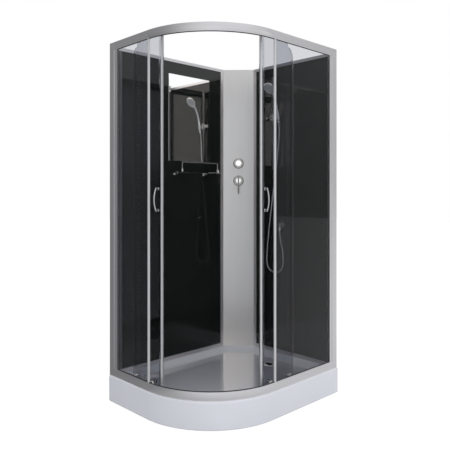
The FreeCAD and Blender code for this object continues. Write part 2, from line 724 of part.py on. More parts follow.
def make_column():
    front_long = long_face - trim_proud
    front_short = short_face - trim_proud
    long_bar = block("ColumnLong", (column_x - column_trim, front_long, tray_height),
                     (column_x, front_long + trim_depth, wall_top))
    long_slot = block("ColumnLongSlot", (column_x - column_trim - 1, long_face - 0.3, tray_height - 1),
                      (column_x - column_trim + groove, long_face + wall_glass + 0.3, wall_top + 1))
    short_bar = block("ColumnShort", (front_short, column_y - column_trim, tray_height),
                      (front_short + trim_depth, column_y, wall_top))
    short_slot = block("ColumnShortSlot", (short_face - 0.3, column_y - column_trim - 1, tray_height - 1),
                       (short_face + wall_glass + 0.3, column_y - column_trim + groove, wall_top + 1))
    pipe_hole = rod("PipeHole", (short_face + 14, column_y - column_trim - 2, outlet_level),
                    Vector(0, 1, 0), 6, column_trim + 4)
    keep(group("ColumnTrims", [cut("ColumnLongBar", long_bar, [long_slot]),
                               cut("ColumnShortBar", short_bar, [short_slot, pipe_hole])]), "column_trims")

    half = column_leg / math.sqrt(2)
    reach = panel_flange / math.sqrt(2)
    inner = half - panel_sheet * math.tan(math.pi / 8)
    skew = panel_sheet / math.sqrt(2)
    panel = extrusion("ColumnPanel", [(-half - reach, reach), (-half, 0), (half, 0), (half + reach, reach),
                                      (half + reach - skew, reach + skew), (inner, panel_sheet),
                                      (-inner, panel_sheet), (skew - half - reach, reach + skew)],
                      tray_height, wall_top)
    holes = sketch_on(panel, "XZ_Plane", 5)
    circle(holes, 0, mixer_level, valve_radius + 2)
    circle(holes, 0, diverter_level, valve_radius + 2)
    pocket(panel, holes, 40)
    panel.Placement = column_place()
    keep(panel, "column_panel")


def column_place(level=0, forward=0):
    """Frame of the column: X along the panel, Y into the corner, forward in front of the panel."""
    x = (column_x + short_face) / 2 - as_size(forward) / math.sqrt(2)
    y = (column_y + long_face) / 2 - as_size(forward) / math.sqrt(2)
    return at(x, y, level, -45)


def make_mirror_and_shelf():
    low = (fitting_x - mirror_width / 2, long_face - mirror_thick, mirror_low)
    high = (fitting_x + mirror_width / 2, long_face, mirror_high)
    keep(block("Mirror", low, high), "mirror")

    shelf = body("Shelf")
    half = mirror_width / 2
    front = long_face - shelf_reach
    drawing = sketch_on(shelf, "XY_Plane", shelf_level - shelf_glass_thick)
    polygon(drawing, [(fitting_x - half, front), (fitting_x + half, front),
                      (fitting_x + half, long_face - 6), (fitting_x - half, long_face - 6)])
    pad(shelf, drawing, shelf_glass_thick)
    fillet(shelf, 14, lambda edge: upright(edge) and edge.BoundBox.YMax < front.value + 1)
    keep(shelf, "shelf_glass")

    clamps = []
    underside = shelf_level - shelf_glass_thick
    for side in (-1, 1):
        x = fitting_x + side * shelf_clamp
        base = rod("ClampBase", (x, long_face, underside - 5), Vector(0, -1, 0), 11, 5)
        arm = rod("ClampArm", (x, long_face - 4, underside - 5), Vector(0, -1, 0), 5, 30)
        button = rod("ClampButton", (x, long_face - 22, shelf_level), UP, 7, 5)
        clamps += [joined("Clamp", [base, arm]), button]
    keep(group("Clamps", clamps), "shelf_brackets")

    post_y = front + 12
    rail_level = shelf_level + guard_height
    wire = rod("Guard", (fitting_x - shelf_post, post_y, rail_level), Vector(1, 0, 0), guard_radius,
               2 * shelf_post)
    pieces = [wire]
    for side in (-1, 1):
        x = fitting_x + side * shelf_post
        foot = turned("GuardPost", [(0, 0), (7, 0), (7, 14), (guard_radius, 24),
                                    (guard_radius, guard_height), (0, guard_height)])
        foot.Placement = at(x, post_y, shelf_level)
        pieces.append(foot)
    keep(joined("GuardRail", pieces), "shelf_guard_rail")


# ---------------------------------------------------------------- doors

def door_place(side):
    """Travel of a door from its closed pose to its open pose."""
    if side == "left":
        shift_x, shift_y, turn = left_pivot_x, left_pivot_y, -left_turn.value
    else:
        shift_x, shift_y, turn = right_pivot_x, right_pivot_y, right_turn.value
    pivot = Vector(number(arc_x + shift_x), number(arc_y + shift_y), 0)
    return Placement(Vector(0, 0, 0), Rotation(UP, turn), pivot)


def on_arc(side, degrees, level=0, radius=0):
    """Frame at an angle from the meeting line: X outwards, Y along the arc, before the door opens."""
    angle = MEETING - number(degrees) if side == "left" else MEETING + number(degrees)
    turn = Rotation(UP, angle)
    out = turn.multVec(Vector(1, 0, 0))
    centre = Vector(arc_x.value, arc_y.value, number(level))
    return Placement(centre + out * number(radius), turn)


def radial(side, degrees, level, radius):
    """Placement that turns Z outwards along the radius at an angle of the closed door."""
    frame = on_arc(side, degrees, level, radius)
    return frame.multiply(Placement(Vector(0, 0, 0), Rotation(UP, Vector(1, 0, 0))))


def glass_hole(side, degrees, level, radius):
    """A drill through the door glass, square to it."""
    beyond = 10
    drill = doc.addObject("Part::Cylinder", "GlassHole")
    bind(drill, "Radius", radius)
    bind(drill, "Height", glass_thick + 2 * beyond)
    drill.Placement = radial(side, degrees, level, door_radius - glass_thick / 2 - beyond)
    return drill


def make_door_glass(side):
    low, high = door_radius - glass_thick / 2, door_radius + glass_thick / 2
    outline = [(low, door_bottom), (high, door_bottom), (high, door_top), (low, door_top)]
    pane = turned(side + "Pane", outline, door_far - door_near)
    doc.recompute()
    turn = door_far.value if side == "left" else door_near.value
    start = on_arc(side, turn)

    def far_corner(edge):
        middle = edge.CenterOfMass
        level = abs(edge.BoundBox.ZMin - door_top.value) < 0.01 and edge.BoundBox.ZLength < 0.01
        short = edge.Length < 2 * glass_thick.value
        at_start = abs(math.degrees(math.atan2(middle.y, middle.x))) < 1
        return level and short and at_start == (side == "left")

    fillet(pane, door_round, far_corner)
    pane.Placement = start
    holes = [glass_hole(side, degrees, level, axle_radius + 0.5)
             for degrees in (roller_near, roller_far) for level in (top_axle(), bottom_axle())]
    holes += [glass_hole(side, handle_angle, handle_level + step * handle_pitch / 2, stud_hole_radius)
              for step in (-1, 1)]
    door = cut(side + "DoorGlass", pane, holes)
    door.Placement = door_place(side)
    keep(door, side + "_door_glass")


def top_axle():
    return cabin_height - ledge_depth + top_wheel + slip


def bottom_axle():
    return tray_height + ledge_depth + rail_wall + bottom_wheel + slip


def slot_angle():
    """Middle of the edge profile's slot, in degrees from the meeting line."""
    return door_near.value + math.degrees(edge_slot.value / 2 / door_radius.value)


def make_door_edge(side):
    hand = 1 if side == "left" else -1
    half = edge_depth / 2
    lips = glass_thick / 2 + 0.2
    back = -edge_slot / 2
    front = edge_width + back
    slot_end = edge_slot / 2 + 0.3
    outline = [(-half, back), (-half, front), (half, front), (half, back), (lips, back), (lips, slot_end),
               (-lips, slot_end), (-lips, back)]
    outline = [(x, hand * y) for x, y in outline]
    edge = extrusion(side + "Edge", outline, door_bottom, door_top)
    frame = on_arc(side, slot_angle(), 0, door_radius)
    edge.Placement = door_place(side).multiply(frame)
    keep(edge, side + "_door_edge_profile")

    magnet = [(-4.5, front), (-4.5, front + magnet_thick), (4.5, front + magnet_thick), (4.5, front)]
    strip = extrusion(side + "Magnet", [(x, hand * y) for x, y in magnet], door_bottom, door_top)
    strip.Placement = frame
    wiper_frame = on_arc(side, door_far, 0, door_radius)
    tip = glass_thick / 2
    lip = [(-tip - 1.2, -1), (-tip - 1.2, 9), (-tip - 0.1, 9), (-tip - 0.1, 0), (tip + 0.1, 0),
           (tip + 0.1, 9), (tip + 1.2, 9), (tip + 1.2, -1)]
    wiper = extrusion(side + "Wiper", [(x, hand * as_size(y)) for x, y in lip], door_bottom + 1,
                      door_top - door_round - 5)
    wiper.Placement = wiper_frame
    seals = group(side + "Seals", [strip, wiper])
    seals.Placement = door_place(side)
    keep(seals, side + "_door_seals")


def make_handle(side):
    """A bow: two studs carry an arc that rises away from the glass."""
    chord = handle_span / 2
    radius = (chord * chord + handle_rise * handle_rise) / (handle_rise * 2)
    crest = glass_thick / 2 + handle_stand + handle_rise
    bow = body(side + "Bow")
    section = sketch_on(bow, "XY_Plane")
    circle(section, crest, 0, handle_radius)
    low_end = Vector(number(crest - radius), -chord.value, 0)
    high_end = Vector(number(crest - radius), chord.value, 0)
    axis = section.addGeometry(Part.LineSegment(low_end, high_end), True)
    section.addConstraint(Sketcher.Constraint("Vertical", axis))
    for kind, value in (("DistanceX", crest - radius), ("DistanceY", -chord)):
        index = section.addConstraint(Sketcher.Constraint(kind, -1, 1, axis, 1, value.value))
        section.setExpression("Constraints[%d]" % index, value.formula)
    index = section.addConstraint(Sketcher.Constraint("DistanceY", axis, 1, axis, 2, handle_span.value))
    section.setExpression("Constraints[%d]" % index, handle_span.formula)
    feature = bow.newObject("PartDesign::Revolution", "Arc")
    feature.Profile = section
    feature.ReferenceAxis = (section, ["Axis0"])
    feature.Midplane = True
    feature.Angle = 2 * math.degrees(math.asin(chord.value / radius.value))
    studs = []
    touch = glass_thick / 2
    for step in (-1, 1):
        level = step * handle_pitch / 2
        studs.append(rod("Stud", (touch, 0, level), Vector(1, 0, 0), 6, handle_stand + 3))
        studs.append(rod("Bolt", (-touch - 4, 0, level), Vector(1, 0, 0), 4, 10))
        studs.append(rod("Button", (-touch - 5.2, 0, level), Vector(1, 0, 0), 9, 5))
    handle = joined(side + "Handle", [bow] + studs)
    handle.Placement = door_place(side).multiply(on_arc(side, handle_angle, handle_level, door_radius))
    keep(handle, side + "_door_handle")


def make_rollers(side):
    half = glass_thick / 2
    wheel_from = door_line - wheel_line - wheel_width / 2
    tip = wheel_from + wheel_width + 0.2
    outline = [(0, -half - 6), (9, -half - 6), (11, -half - 0.2), (axle_radius, -half - 0.2),
               (axle_radius, half), (7, half), (7, wheel_from - 0.3), (axle_radius, wheel_from - 0.3),
               (axle_radius, tip), (6, tip), (6, tip + 1), (0, tip + 1)]
    hangers = []
    places = (("leading", roller_near), ("trailing", roller_far))
    rows = (("top", top_axle(), top_wheel), ("bottom", bottom_axle(), bottom_wheel))
    for where, degrees in places:
        for height, level, radius in rows:
            frame = radial(side, degrees, level, door_radius)
            hanger = turned("Hanger", outline)
            hanger.Placement = frame
            hangers.append(hanger)
            bore = axle_radius + bore_clearance
            name = "%s_%s_%s_wheel" % (side, height, where)
            end = wheel_from + wheel_width
            rim = [(bore, wheel_from), (radius, wheel_from), (radius, end), (bore, end)]
            wheel = turned(name + "Body", rim)
            wheel.Placement = door_place(side).multiply(frame)
            keep(wheel, name)
            centre = wheel.Placement.multVec(Vector(0, 0, number(wheel_from + wheel_width / 2)))
            out = wheel.Placement.Rotation.multVec(UP)
            print("%s centre %.2f %.2f %.2f axis %.5f %.5f"
                  % (name, centre.x, centre.y, centre.z, out.x, out.y))
    carrier = group(side + "Hangers", hangers)
    carrier.Placement = door_place(side)
    keep(carrier, side + "_door_hangers")


def make_doors():
    for side in ("left", "right"):
        make_door_glass(side)
        make_door_edge(side)
        make_handle(side)
        make_rollers(side)


# ---------------------------------------------------------------- controls on the column

def facing(level):
    """Placement on the column panel that turns Z out towards the bather."""
    return column_place(level).multiply(Placement(Vector(0, 0, 0), Rotation(UP, Vector(0, -1, 0))))


def make_controls():
    along = Vector(1, 0, 0)
    deep = Vector(0, 1, 0)
    arm_reach = inlet_reach + 12
    pieces = []
    for level in (mixer_level, diverter_level):
        pieces.append(rod("Valve", (0, 0, level), deep, valve_radius, valve_depth))
    link_height = diverter_level - mixer_level + valve_outlet
    pieces.append(rod("Link", (0, casting_line, mixer_level), UP, 11, link_height))
    bores = []
    pieces.append(rod("Arms", (-arm_reach, casting_line, mixer_level), along, 13, arm_reach * 2))
    inlet_mouth = casting_line + inlet_length
    for side in (-1, 1):
        x = side * inlet_reach
        pieces.append(rod("Inlet", (x, casting_line, mixer_level), deep, 12.5, inlet_length))
        bores.append(rod("InletBore", (x, inlet_mouth - inlet_depth, mixer_level), deep, inlet_radius,
                         inlet_depth))
    for level in (mixer_level, diverter_level):
        bores.append(rod("StemBore", (0, -1, level), deep, spindle_radius + bore_clearance, 21))
    bores.append(rod("FeedBore", (0, casting_line, diverter_level + 20), UP, pipe_radius,
                     valve_outlet - 10))
    valve = cut("MixerBody", joined("MixerCasting", pieces), bores)
    valve.Placement = column_place()
    keep(valve, "mixer_body")

    plates = []
    for level in (mixer_level, diverter_level):
        plate = turned("Plate", [(spindle_radius + 2, 0), (plate_radius, 0), (plate_radius, 2),
                                 (plate_radius - 6, plate_thick), (spindle_radius + 2, plate_thick)])
        plate.Placement = facing(level)
        plates.append(plate)
    keep(group("Plates", plates), "control_plates")

    ball = plate_thick + hub_radius + 0.5
    stem = rod("SpindleStem", (0, 0, -18), UP, spindle_radius, ball + 18 + 4)
    cross = rod("SpindleBore", (-20, 0, ball), Vector(1, 0, 0), pin_radius + bore_clearance, 40)
    spindle = cut("Spindle", stem, [cross])
    spindle.Placement = facing(mixer_level)
    keep(spindle, "mixer_spindle")
    make_lever(ball)

    stem_top = plate_thick + 0.5
    knob = turned("KnobBody", [(0, -18), (spindle_radius, -18), (spindle_radius, stem_top),
                               (knob_radius - 2, stem_top), (knob_radius, stem_top + 2),
                               (knob_radius - 2, stem_top + knob_depth - 5),
                               (knob_radius - 6, stem_top + knob_depth - 1), (0, stem_top + knob_depth)])
    flutes = []
    for k in range(6):
        angle = math.radians(60 * k)
        flute_at = knob_radius + 3
        place = (flute_at * math.cos(angle), flute_at * math.sin(angle), stem_top - 1)
        flutes.append(rod("Flute", place, UP, 5, knob_depth + 4))
    diverter = cut("Diverter", knob, flutes)
    diverter.Placement = facing(diverter_level)
    keep(diverter, "diverter_knob")


def make_lever(ball):
    """Ball on a cross pin with a thin hanging blade: Z points at the bather, and Y points up."""
    sphere = doc.addObject("Part::Sphere", "Ball")
    bind(sphere, "Radius", hub_radius)
    bind(sphere, "Placement.Base.z", ball)
    half = lever_width / 2
    blade = block("Blade", (-half, -lever_length, ball + 6), (half, hub_radius + lever_heel, ball + 17))
    slot_half = spindle_radius + 0.3
    slot = block("Slot", (-slot_half, -hub_radius, ball - hub_radius - 1),
                 (slot_half, hub_radius, ball + 6.5))
    shaft = rod("LeverPin", (-13, 0, ball), Vector(1, 0, 0), pin_radius, 26)
    lever = joined("Lever", [cut("LeverBall", joined("BallAndBlade", [sphere, blade]), [slot]), shaft])
    lever.Placement = facing(mixer_level)
    keep(lever, "mixer_lever")


# ---------------------------------------------------------------- hand shower

def make_riser():
    bar = rod("Bar", (riser_x, riser_y, riser_low), UP, riser_radius, riser_high - riser_low)
    pieces = [bar]
    for level in (riser_low + 25, riser_high - 25):
        pieces.append(rod("Arm", (riser_x, riser_y, level), Vector(1, 0, 0), 9, short_face - riser_x))
        pieces.append(rod("Rose", (short_face - 8, riser_y, level), Vector(1, 0, 0), 17, 8))
    keep(joined("Riser", pieces), "riser_rail")

    low = slider_level - slider_height / 2
    sleeve = rod("Sleeve", (riser_x, riser_y, low), UP, riser_radius + 8, slider_height)
    barrel = rod("Barrel", (riser_x, riser_y - 25, slider_level), Vector(0, 1, 0), 12, 63)
    bore = rod("SleeveBore", (riser_x, riser_y, low - 5), UP, riser_radius + bore_clearance,
               slider_height + 10)
    keep(cut("Slider", joined("SleeveAndBarrel", [sleeve, barrel]), [bore]), "slider")

    knob = turned("SliderKnobBody", [(0, 0), (15, 0), (15, 16), (12, 19), (0, 19)])
    knob.Placement = Placement(Vector(riser_x.value, riser_y.value + 38.3, slider_level.value),
                               Rotation(UP, Vector(0, 1, 0)))
    keep(knob, "slider_knob")


def holder_frame():
    """Z runs up the handset, which leans away from the wall."""
    return Placement(Vector(riser_x.value, holder_y.value, slider_level.value),
                     Rotation(Vector(0, 1, 0), -holder_tilt.value))


def make_holder():
    cup = turned("Cup", [(11.2, -18), (15, -18), (16.5, 0), (17, 18), (12.6, 18)])
    throat = block("Throat", (-30, -8, -25), (0, 8, 25))
    collar = rod("Collar", (0, 14, 0), Vector(0, 1, 0), 10, riser_y - holder_y - 25 - 14 - slip)
    holder = joined("Holder", [cut("OpenCup", cup, [throat]), collar])
    holder.Placement = holder_frame()
    keep(holder, "handset_holder")


def make_handset():
    """A handle that tapers and bends forward into a round spray head."""
    stations = ((0, 0, -24, 10.4, 0), (0, 0, 30, 12.2, 0), (-5, 0, 105, 12.5, 8), (-21, 0, 165, 14, 22),
                (-38, 0, 198, 17, 34))
    wires = []
    for x, y, z, radius, lean in stations:
        normal = Vector(-math.sin(math.radians(lean)), 0, math.cos(math.radians(lean)))
        wires.append(Part.Wire([Part.makeCircle(radius, Vector(x, y, z), normal)]))
    handle = doc.addObject("Part::Feature", "HandleShape")
    handle.Shape = Part.makeLoft(wires, True, False)
    recess = spray_radius + 0.2
    head = turned("Head", [(0, spray_thick), (recess, spray_thick), (recess, 0), (head_radius, 0),
                           (head_radius, head_depth / 3), (head_radius - 7, head_depth * 2 / 3),
                           (18, head_depth), (0, head_depth)])
    head_frame = Placement(Vector(-head_forward.value, 0, head_rise.value),
                           Rotation(Vector(0, 1, 0), head_lean.value))
    head.Placement = head_frame
    handset = joined("Handset", [handle, head])
    handset.Placement = holder_frame()
    keep(handset, "handset")

    plate = turned("SprayPlate", [(0, 0), (spray_radius, 0), (spray_radius, spray_thick), (0, spray_thick)])
    plate.Placement = holder_frame().multiply(head_frame)
    keep(plate, "spray_face")

    nut = turned("TopNutBody", [(0, -46), (8.5, -46), (10.5, -42), (10.5, -28), (9.5, -24), (0, -24)])
    nut.Placement = holder_frame()
    keep(nut, "hose_top_nut")


def make_outlet():
    rose = rod("ElbowRose", (short_face - 8, outlet_y, outlet_level), Vector(1, 0, 0), 27, 8)
    neck = rod("ElbowNeck", (short_face - 21, outlet_y, outlet_level), Vector(1, 0, 0), 12, 21)
    drop = rod("ElbowDrop", (short_face - 21, outlet_y, outlet_level - 20), UP, 11, 20)
    ball = doc.addObject("Part::Sphere", "ElbowBall")
    ball.Radius = 12
    for axis, value in zip("xyz", (short_face - 21, outlet_y, outlet_level)):
        bind(ball, "Placement.Base." + axis, value)
    tail = rod("ElbowTail", (short_face - 1, outlet_y, outlet_level), Vector(1, 0, 0), 10, 21)
    keep(joined("Elbow", [rose, neck, drop, ball, tail]), "wall_elbow")

    nut = turned("BottomNutBody", [(0, -24), (8.5, -24), (10.5, -19), (10.5, 0), (0, 0)])
    nut.Placement = at(short_face - 21, outlet_y, outlet_level - 20)
    keep(nut, "hose_bottom_nut")


def tube_along(points, radius):
    """Straight runs joined by tangent arcs, each as large as its two runs allow."""
    corners = [Vector(*point) for point in points]
    edges = []
    here = corners[0]
    length = 0.0
    radii = []
    for k in range(1, len(corners) - 1):
        before = (corners[k - 1] - corners[k])
        after = (corners[k + 1] - corners[k])
        turn = math.pi - before.getAngle(after)
        reach = 0.45 * min(before.Length, after.Length)
        start = corners[k] + before.normalize() * reach
        end = corners[k] + after.normalize() * reach
        bend = reach / math.tan(turn / 2)
        radii.append(bend)
        inward = (before + after).normalize()
        centre = corners[k] + inward * (bend / math.cos(turn / 2))
        middle = centre - inward * bend
        edges.append(Part.LineSegment(here, start).toShape())
        edges.append(Part.Arc(start, middle, end).toShape())
        length += (start - here).Length + bend * turn
        here = end
    edges.append(Part.LineSegment(here, corners[-1]).toShape())
    length += (corners[-1] - here).Length
    direction = (corners[1] - corners[0]).normalize()
    section = Part.Face(Part.Wire([Part.makeCircle(radius, corners[0], direction)]))
    return Part.Wire(edges).makePipe(section), length, radii


def make_hose():
    """The hose hangs from the handset in one loop and comes up to the wall elbow."""
    bottom = holder_frame().multVec(Vector(0, 0, -46))
    down = holder_frame().Rotation.multVec(Vector(0, 0, -1))
    elbow = Vector(short_face.value - 21, outlet_y.value, outlet_level.value - 44)
    route = [tuple(bottom), tuple(bottom + down * 35), (517, 12, 1610), (514, 24, 1480), (511, 48, 1305),
             (510, 76, 1130), (509, 99, 960), (508, 111, 840), (508, 114, 734), (508, 40, 692),
             (508, -34, 734), (508, -33, 850), (elbow.x, elbow.y, elbow.z - 46), tuple(elbow)]
    solid, length, radii = tube_along(route, hose_radius.value)
    hose = doc.addObject("Part::Feature", "Hose")
    hose.Shape = solid
    section = math.pi * hose_radius.value ** 2
    filled = solid.Volume / section / length
    print("hose length %.0f mm, volume over section times length %.4f" % (length, filled))
    print("hose bend radii " + " ".join("%.0f" % bend for bend in radii))
    keep(hose, "shower_hose")


def make_feed_pipe():
    """Copper pipe from the diverter down inside the column and behind the short wall to the elbow."""
    top = number(diverter_level + valve_outlet)
    start = column_place().multVec(Vector(0, casting_line.value, top))
    behind = short_face.value + 14
    shift = UP * 30
    deep = start + Vector(40, 40, 0)
    route = [tuple(start), tuple(start + shift), tuple(deep + shift),
             (deep.x, deep.y, outlet_level.value), (behind, number(column_y + 43.5), outlet_level.value),
             (behind, outlet_y.value + 10, outlet_level.value)]
    solid, length, radii = tube_along(route, pipe_radius.value)
    pipe = doc.addObject("Part::Feature", "FeedPipe")
    pipe.Shape = solid
    print("feed pipe length %.0f mm" % length)
    keep(pipe, "feed_pipe")


# ---------------------------------------------------------------- build, check and write

make_tray_shell()
make_tray_support()
make_waste()
make_rails()
make_posts()
make_fixed_glazing()
make_walls()
make_column()
make_mirror_and_shelf()
make_doors()
make_controls()
make_riser()
make_holder()
make_handset()
make_outlet()
make_hose()
make_feed_pipe()
doc.recompute()

for item in doc.Objects:
    if "Invalid" in item.State or "Error" in item.State:
        raise ValueError("%s failed: %s" % (item.Name, item.State))
for item in parts:
    if item.Shape.isNull() or not item.Shape.isValid() or not item.Shape.Solids:
        raise ValueError("%s has no valid solid" % item.Label)
for item in parts:
    item.Shape.exportStep("parts/%s.step" % item.Label)
print("%d sub-parts written" % len(parts))
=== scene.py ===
import math

import bmesh
import bpy
import numpy as np
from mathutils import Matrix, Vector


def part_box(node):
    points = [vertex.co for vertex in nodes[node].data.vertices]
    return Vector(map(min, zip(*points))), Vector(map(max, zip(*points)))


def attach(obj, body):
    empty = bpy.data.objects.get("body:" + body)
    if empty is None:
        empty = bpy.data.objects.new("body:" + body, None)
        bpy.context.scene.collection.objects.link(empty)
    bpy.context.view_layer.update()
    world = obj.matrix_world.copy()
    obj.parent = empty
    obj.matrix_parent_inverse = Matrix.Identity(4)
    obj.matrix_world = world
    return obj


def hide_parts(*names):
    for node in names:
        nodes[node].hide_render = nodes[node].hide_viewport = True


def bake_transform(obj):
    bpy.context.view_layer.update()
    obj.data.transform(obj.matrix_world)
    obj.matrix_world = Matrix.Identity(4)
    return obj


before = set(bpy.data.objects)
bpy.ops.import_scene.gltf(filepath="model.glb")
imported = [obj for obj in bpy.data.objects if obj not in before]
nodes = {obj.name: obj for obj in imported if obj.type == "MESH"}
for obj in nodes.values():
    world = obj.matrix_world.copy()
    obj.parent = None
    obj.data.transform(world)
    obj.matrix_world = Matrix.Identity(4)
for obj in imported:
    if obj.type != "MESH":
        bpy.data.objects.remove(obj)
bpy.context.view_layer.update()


# ---------------------------------------------------------------- camera, light and floor
# A level camera at eye height looks at the rounded corner, shifted down a little. One soft world lights
# the cabin. It is white to the eye, and dimmer in reflections, least so towards the front and the left.

eye = (-2.3415, -2.4144, 1.2482)
heading = math.radians(45.966)
camera = bpy.data.objects.new("Camera", bpy.data.cameras.new("Camera"))
bpy.context.scene.collection.objects.link(camera)
camera.location = eye
camera.rotation_euler = (math.pi / 2, 0, heading - math.pi / 2)
camera.data.sensor_width = 36
camera.data.lens = 43.64
camera.data.shift_y = -0.0712
camera.data.clip_end = 50
camera.data.dof.use_dof = False
bpy.context.scene.camera = camera
bpy.context.scene.view_settings.view_transform = "Standard"


def spread(tree, source, low, high, to_low, to_high):
    """Maps a value from one range to another, eased at both ends."""
    node = tree.nodes.new("ShaderNodeMapRange")
    node.interpolation_type = "SMOOTHSTEP"
    for socket, value in (("From Min", low), ("From Max", high), ("To Min", to_low), ("To Max", to_high)):
        node.inputs[socket].default_value = value
    tree.links.new(source, node.inputs["Value"])
    return node.outputs["Result"]


def reckon(tree, operation, *values):
    """A maths node on sockets or plain numbers."""
    node = tree.nodes.new("ShaderNodeMath")
    node.operation = operation
    for index, value in enumerate(values):
        if isinstance(value, (int, float)):
            node.inputs[index].default_value = value
        else:
            tree.links.new(value, node.inputs[index])
    return node.outputs[0]


def choose(tree, factor, first, second):
    """First where factor is 0, second where it is 1."""
    node = tree.nodes.new("ShaderNodeMix")
    tree.links.new(factor, node.inputs["Factor"])
    for socket, value in (("A", first), ("B", second)):
        if isinstance(value, (int, float)):
            node.inputs[socket].default_value = value
        else:
            tree.links.new(value, node.inputs[socket])
    return node.outputs[0]


def seen_plainly(tree, ray):
    """1 for the camera's own rays and for rays that have only passed through glass, else 0."""
    bounces = reckon(tree, "ADD", ray.outputs["Glossy Depth"], ray.outputs["Diffuse Depth"])
    bounced = reckon(tree, "MINIMUM", bounces, 1.0)
    through = reckon(tree, "SUBTRACT", ray.outputs["Is Transmission Ray"], bounced)
    return reckon(tree, "MAXIMUM", ray.outputs["Is Camera Ray"], through)


def after_matt(tree, ray):
    """1 once a ray has left a matt surface, else 0."""
    return reckon(tree, "MINIMUM", ray.outputs["Diffuse Depth"], 1.0)


studio = bpy.data.worlds.new("Studio")
bpy.context.scene.world = studio
studio.use_nodes = True
sky = studio.node_tree
sky.nodes.clear()
looking = sky.nodes.new("ShaderNodeTexCoord")
look = sky.nodes.new("ShaderNodeSeparateXYZ")
sky.links.new(looking.outputs["Generated"], look.inputs[0])
# Shiny surfaces see a room that is brighter from the front and from above and dimmer from the right, with
# a lit panel at the front right and another behind the eye.
from_front = spread(sky, look.outputs["Y"], 0.45, -0.55, 0.26, 0.77)
from_right = spread(sky, look.outputs["X"], 0.1, 0.8, 1.0, 0.55)
from_above = spread(sky, look.outputs["Z"], -0.25, 0.35, 0.86, 1.16)
room = reckon(sky, "MULTIPLY", reckon(sky, "MULTIPLY", from_front, from_right), from_above)
lit_panel = 1.15
panel_right = spread(sky, look.outputs["X"], 0.45, 0.58, 0.0, 1.0)
panel_front = spread(sky, look.outputs["Y"], -0.66, -0.72, 0.0, 1.0)
panel_above = spread(sky, look.outputs["Z"], 0.02, 0.07, 0.0, 1.0)
panel = reckon(sky, "MULTIPLY", reckon(sky, "MULTIPLY", panel_right, panel_front), panel_above)
diagonal = 0.707
towards_eye = reckon(sky, "ADD", reckon(sky, "MULTIPLY", look.outputs["X"], -diagonal),
                     reckon(sky, "MULTIPLY", look.outputs["Y"], -diagonal))
behind_eye = spread(sky, towards_eye, 0.965, 0.985, 0.0, 1.0)
mirrored = choose(sky, behind_eye, choose(sky, panel, room, lit_panel), lit_panel)
# Matt surfaces get more light from the front and from above.
shed_front = spread(sky, look.outputs["Y"], 0.6, -0.6, 0.72, 1.18)
shed_above = spread(sky, look.outputs["Z"], -0.2, 1.0, 0.92, 1.12)
shed = reckon(sky, "MULTIPLY", shed_front, shed_above)
# Light that has been mirrored twice is stronger and warmer.
sky_ray = sky.nodes.new("ShaderNodeLightPath")
white, twice_mirrored = (1, 1, 1, 1), (1.70, 1.58, 1.46, 1)
at_least_once = reckon(sky, "MAXIMUM", sky_ray.outputs["Glossy Depth"], 1.0)
twice = reckon(sky, "SUBTRACT", reckon(sky, "MINIMUM", at_least_once, 2.0), 1.0)
warmth = sky.nodes.new("ShaderNodeMix")
warmth.data_type = "RGBA"
warmth.inputs["A"].default_value = white
warmth.inputs["B"].default_value = twice_mirrored
sky.links.new(twice, warmth.inputs["Factor"])
glow = sky.nodes.new("ShaderNodeBackground")
sky.links.new(warmth.outputs["Result"], glow.inputs["Color"])
unseen = choose(sky, after_matt(sky, sky_ray), mirrored, shed)
sky.links.new(choose(sky, seen_plainly(sky, sky_ray), unseen, 1.0), glow.inputs["Strength"])
sky_out = sky.nodes.new("ShaderNodeOutputWorld")
sky.links.new(glow.outputs[0], sky_out.inputs["Surface"])

# The floor is one sheet of paper. It is near white to the eye, matt to light that has left a matt surface,
# and dim in reflections, most so towards the back.
floor_size, floor_drop = 40, 0.0005
paper_glow, paper_shade = 0.80, 0.30
bpy.ops.mesh.primitive_plane_add(size=floor_size, location=(0, 0, -floor_drop))
floor = bpy.context.object
floor.name = "floor"
paper = bpy.data.materials.new("paper")
paper.use_nodes = True
sheet = paper.node_tree
sheet.nodes.clear()
sheet_ray = sheet.nodes.new("ShaderNodeLightPath")
sheet_place = sheet.nodes.new("ShaderNodeTexCoord")
sheet_axes = sheet.nodes.new("ShaderNodeSeparateXYZ")
sheet.links.new(sheet_place.outputs["Object"], sheet_axes.inputs[0])
sheet_fibre = sheet.nodes.new("ShaderNodeTexNoise")
sheet_fibre.inputs["Scale"].default_value = 3.0
sheet_matt = sheet.nodes.new("ShaderNodeBsdfDiffuse")
sheet.links.new(spread(sheet, sheet_fibre.outputs[0], 0.3, 0.7, 0.76, 0.80), sheet_matt.inputs["Color"])
sheet_faint = sheet.nodes.new("ShaderNodeBsdfDiffuse")
sheet_faint.inputs["Color"].default_value = (paper_shade, paper_shade, paper_shade, 1)
sheet_white = sheet.nodes.new("ShaderNodeEmission")
sheet_white.inputs["Strength"].default_value = paper_glow
sheet_lit = sheet.nodes.new("ShaderNodeAddShader")
sheet.links.new(sheet_faint.outputs[0], sheet_lit.inputs[0])
sheet.links.new(sheet_white.outputs[0], sheet_lit.inputs[1])
sheet_dim = sheet.nodes.new("ShaderNodeEmission")
sheet.links.new(spread(sheet, sheet_axes.outputs["Y"], 0.8, -1.2, 0.22, 0.76), sheet_dim.inputs["Strength"])
sheet_near = sheet.nodes.new("ShaderNodeMixShader")
sheet.links.new(after_matt(sheet, sheet_ray), sheet_near.inputs[0])
sheet.links.new(sheet_dim.outputs[0], sheet_near.inputs[1])
sheet.links.new(sheet_matt.outputs[0], sheet_near.inputs[2])
sheet_mix = sheet.nodes.new("ShaderNodeMixShader")
sheet.links.new(seen_plainly(sheet, sheet_ray), sheet_mix.inputs[0])
sheet.links.new(sheet_near.outputs[0], sheet_mix.inputs[1])
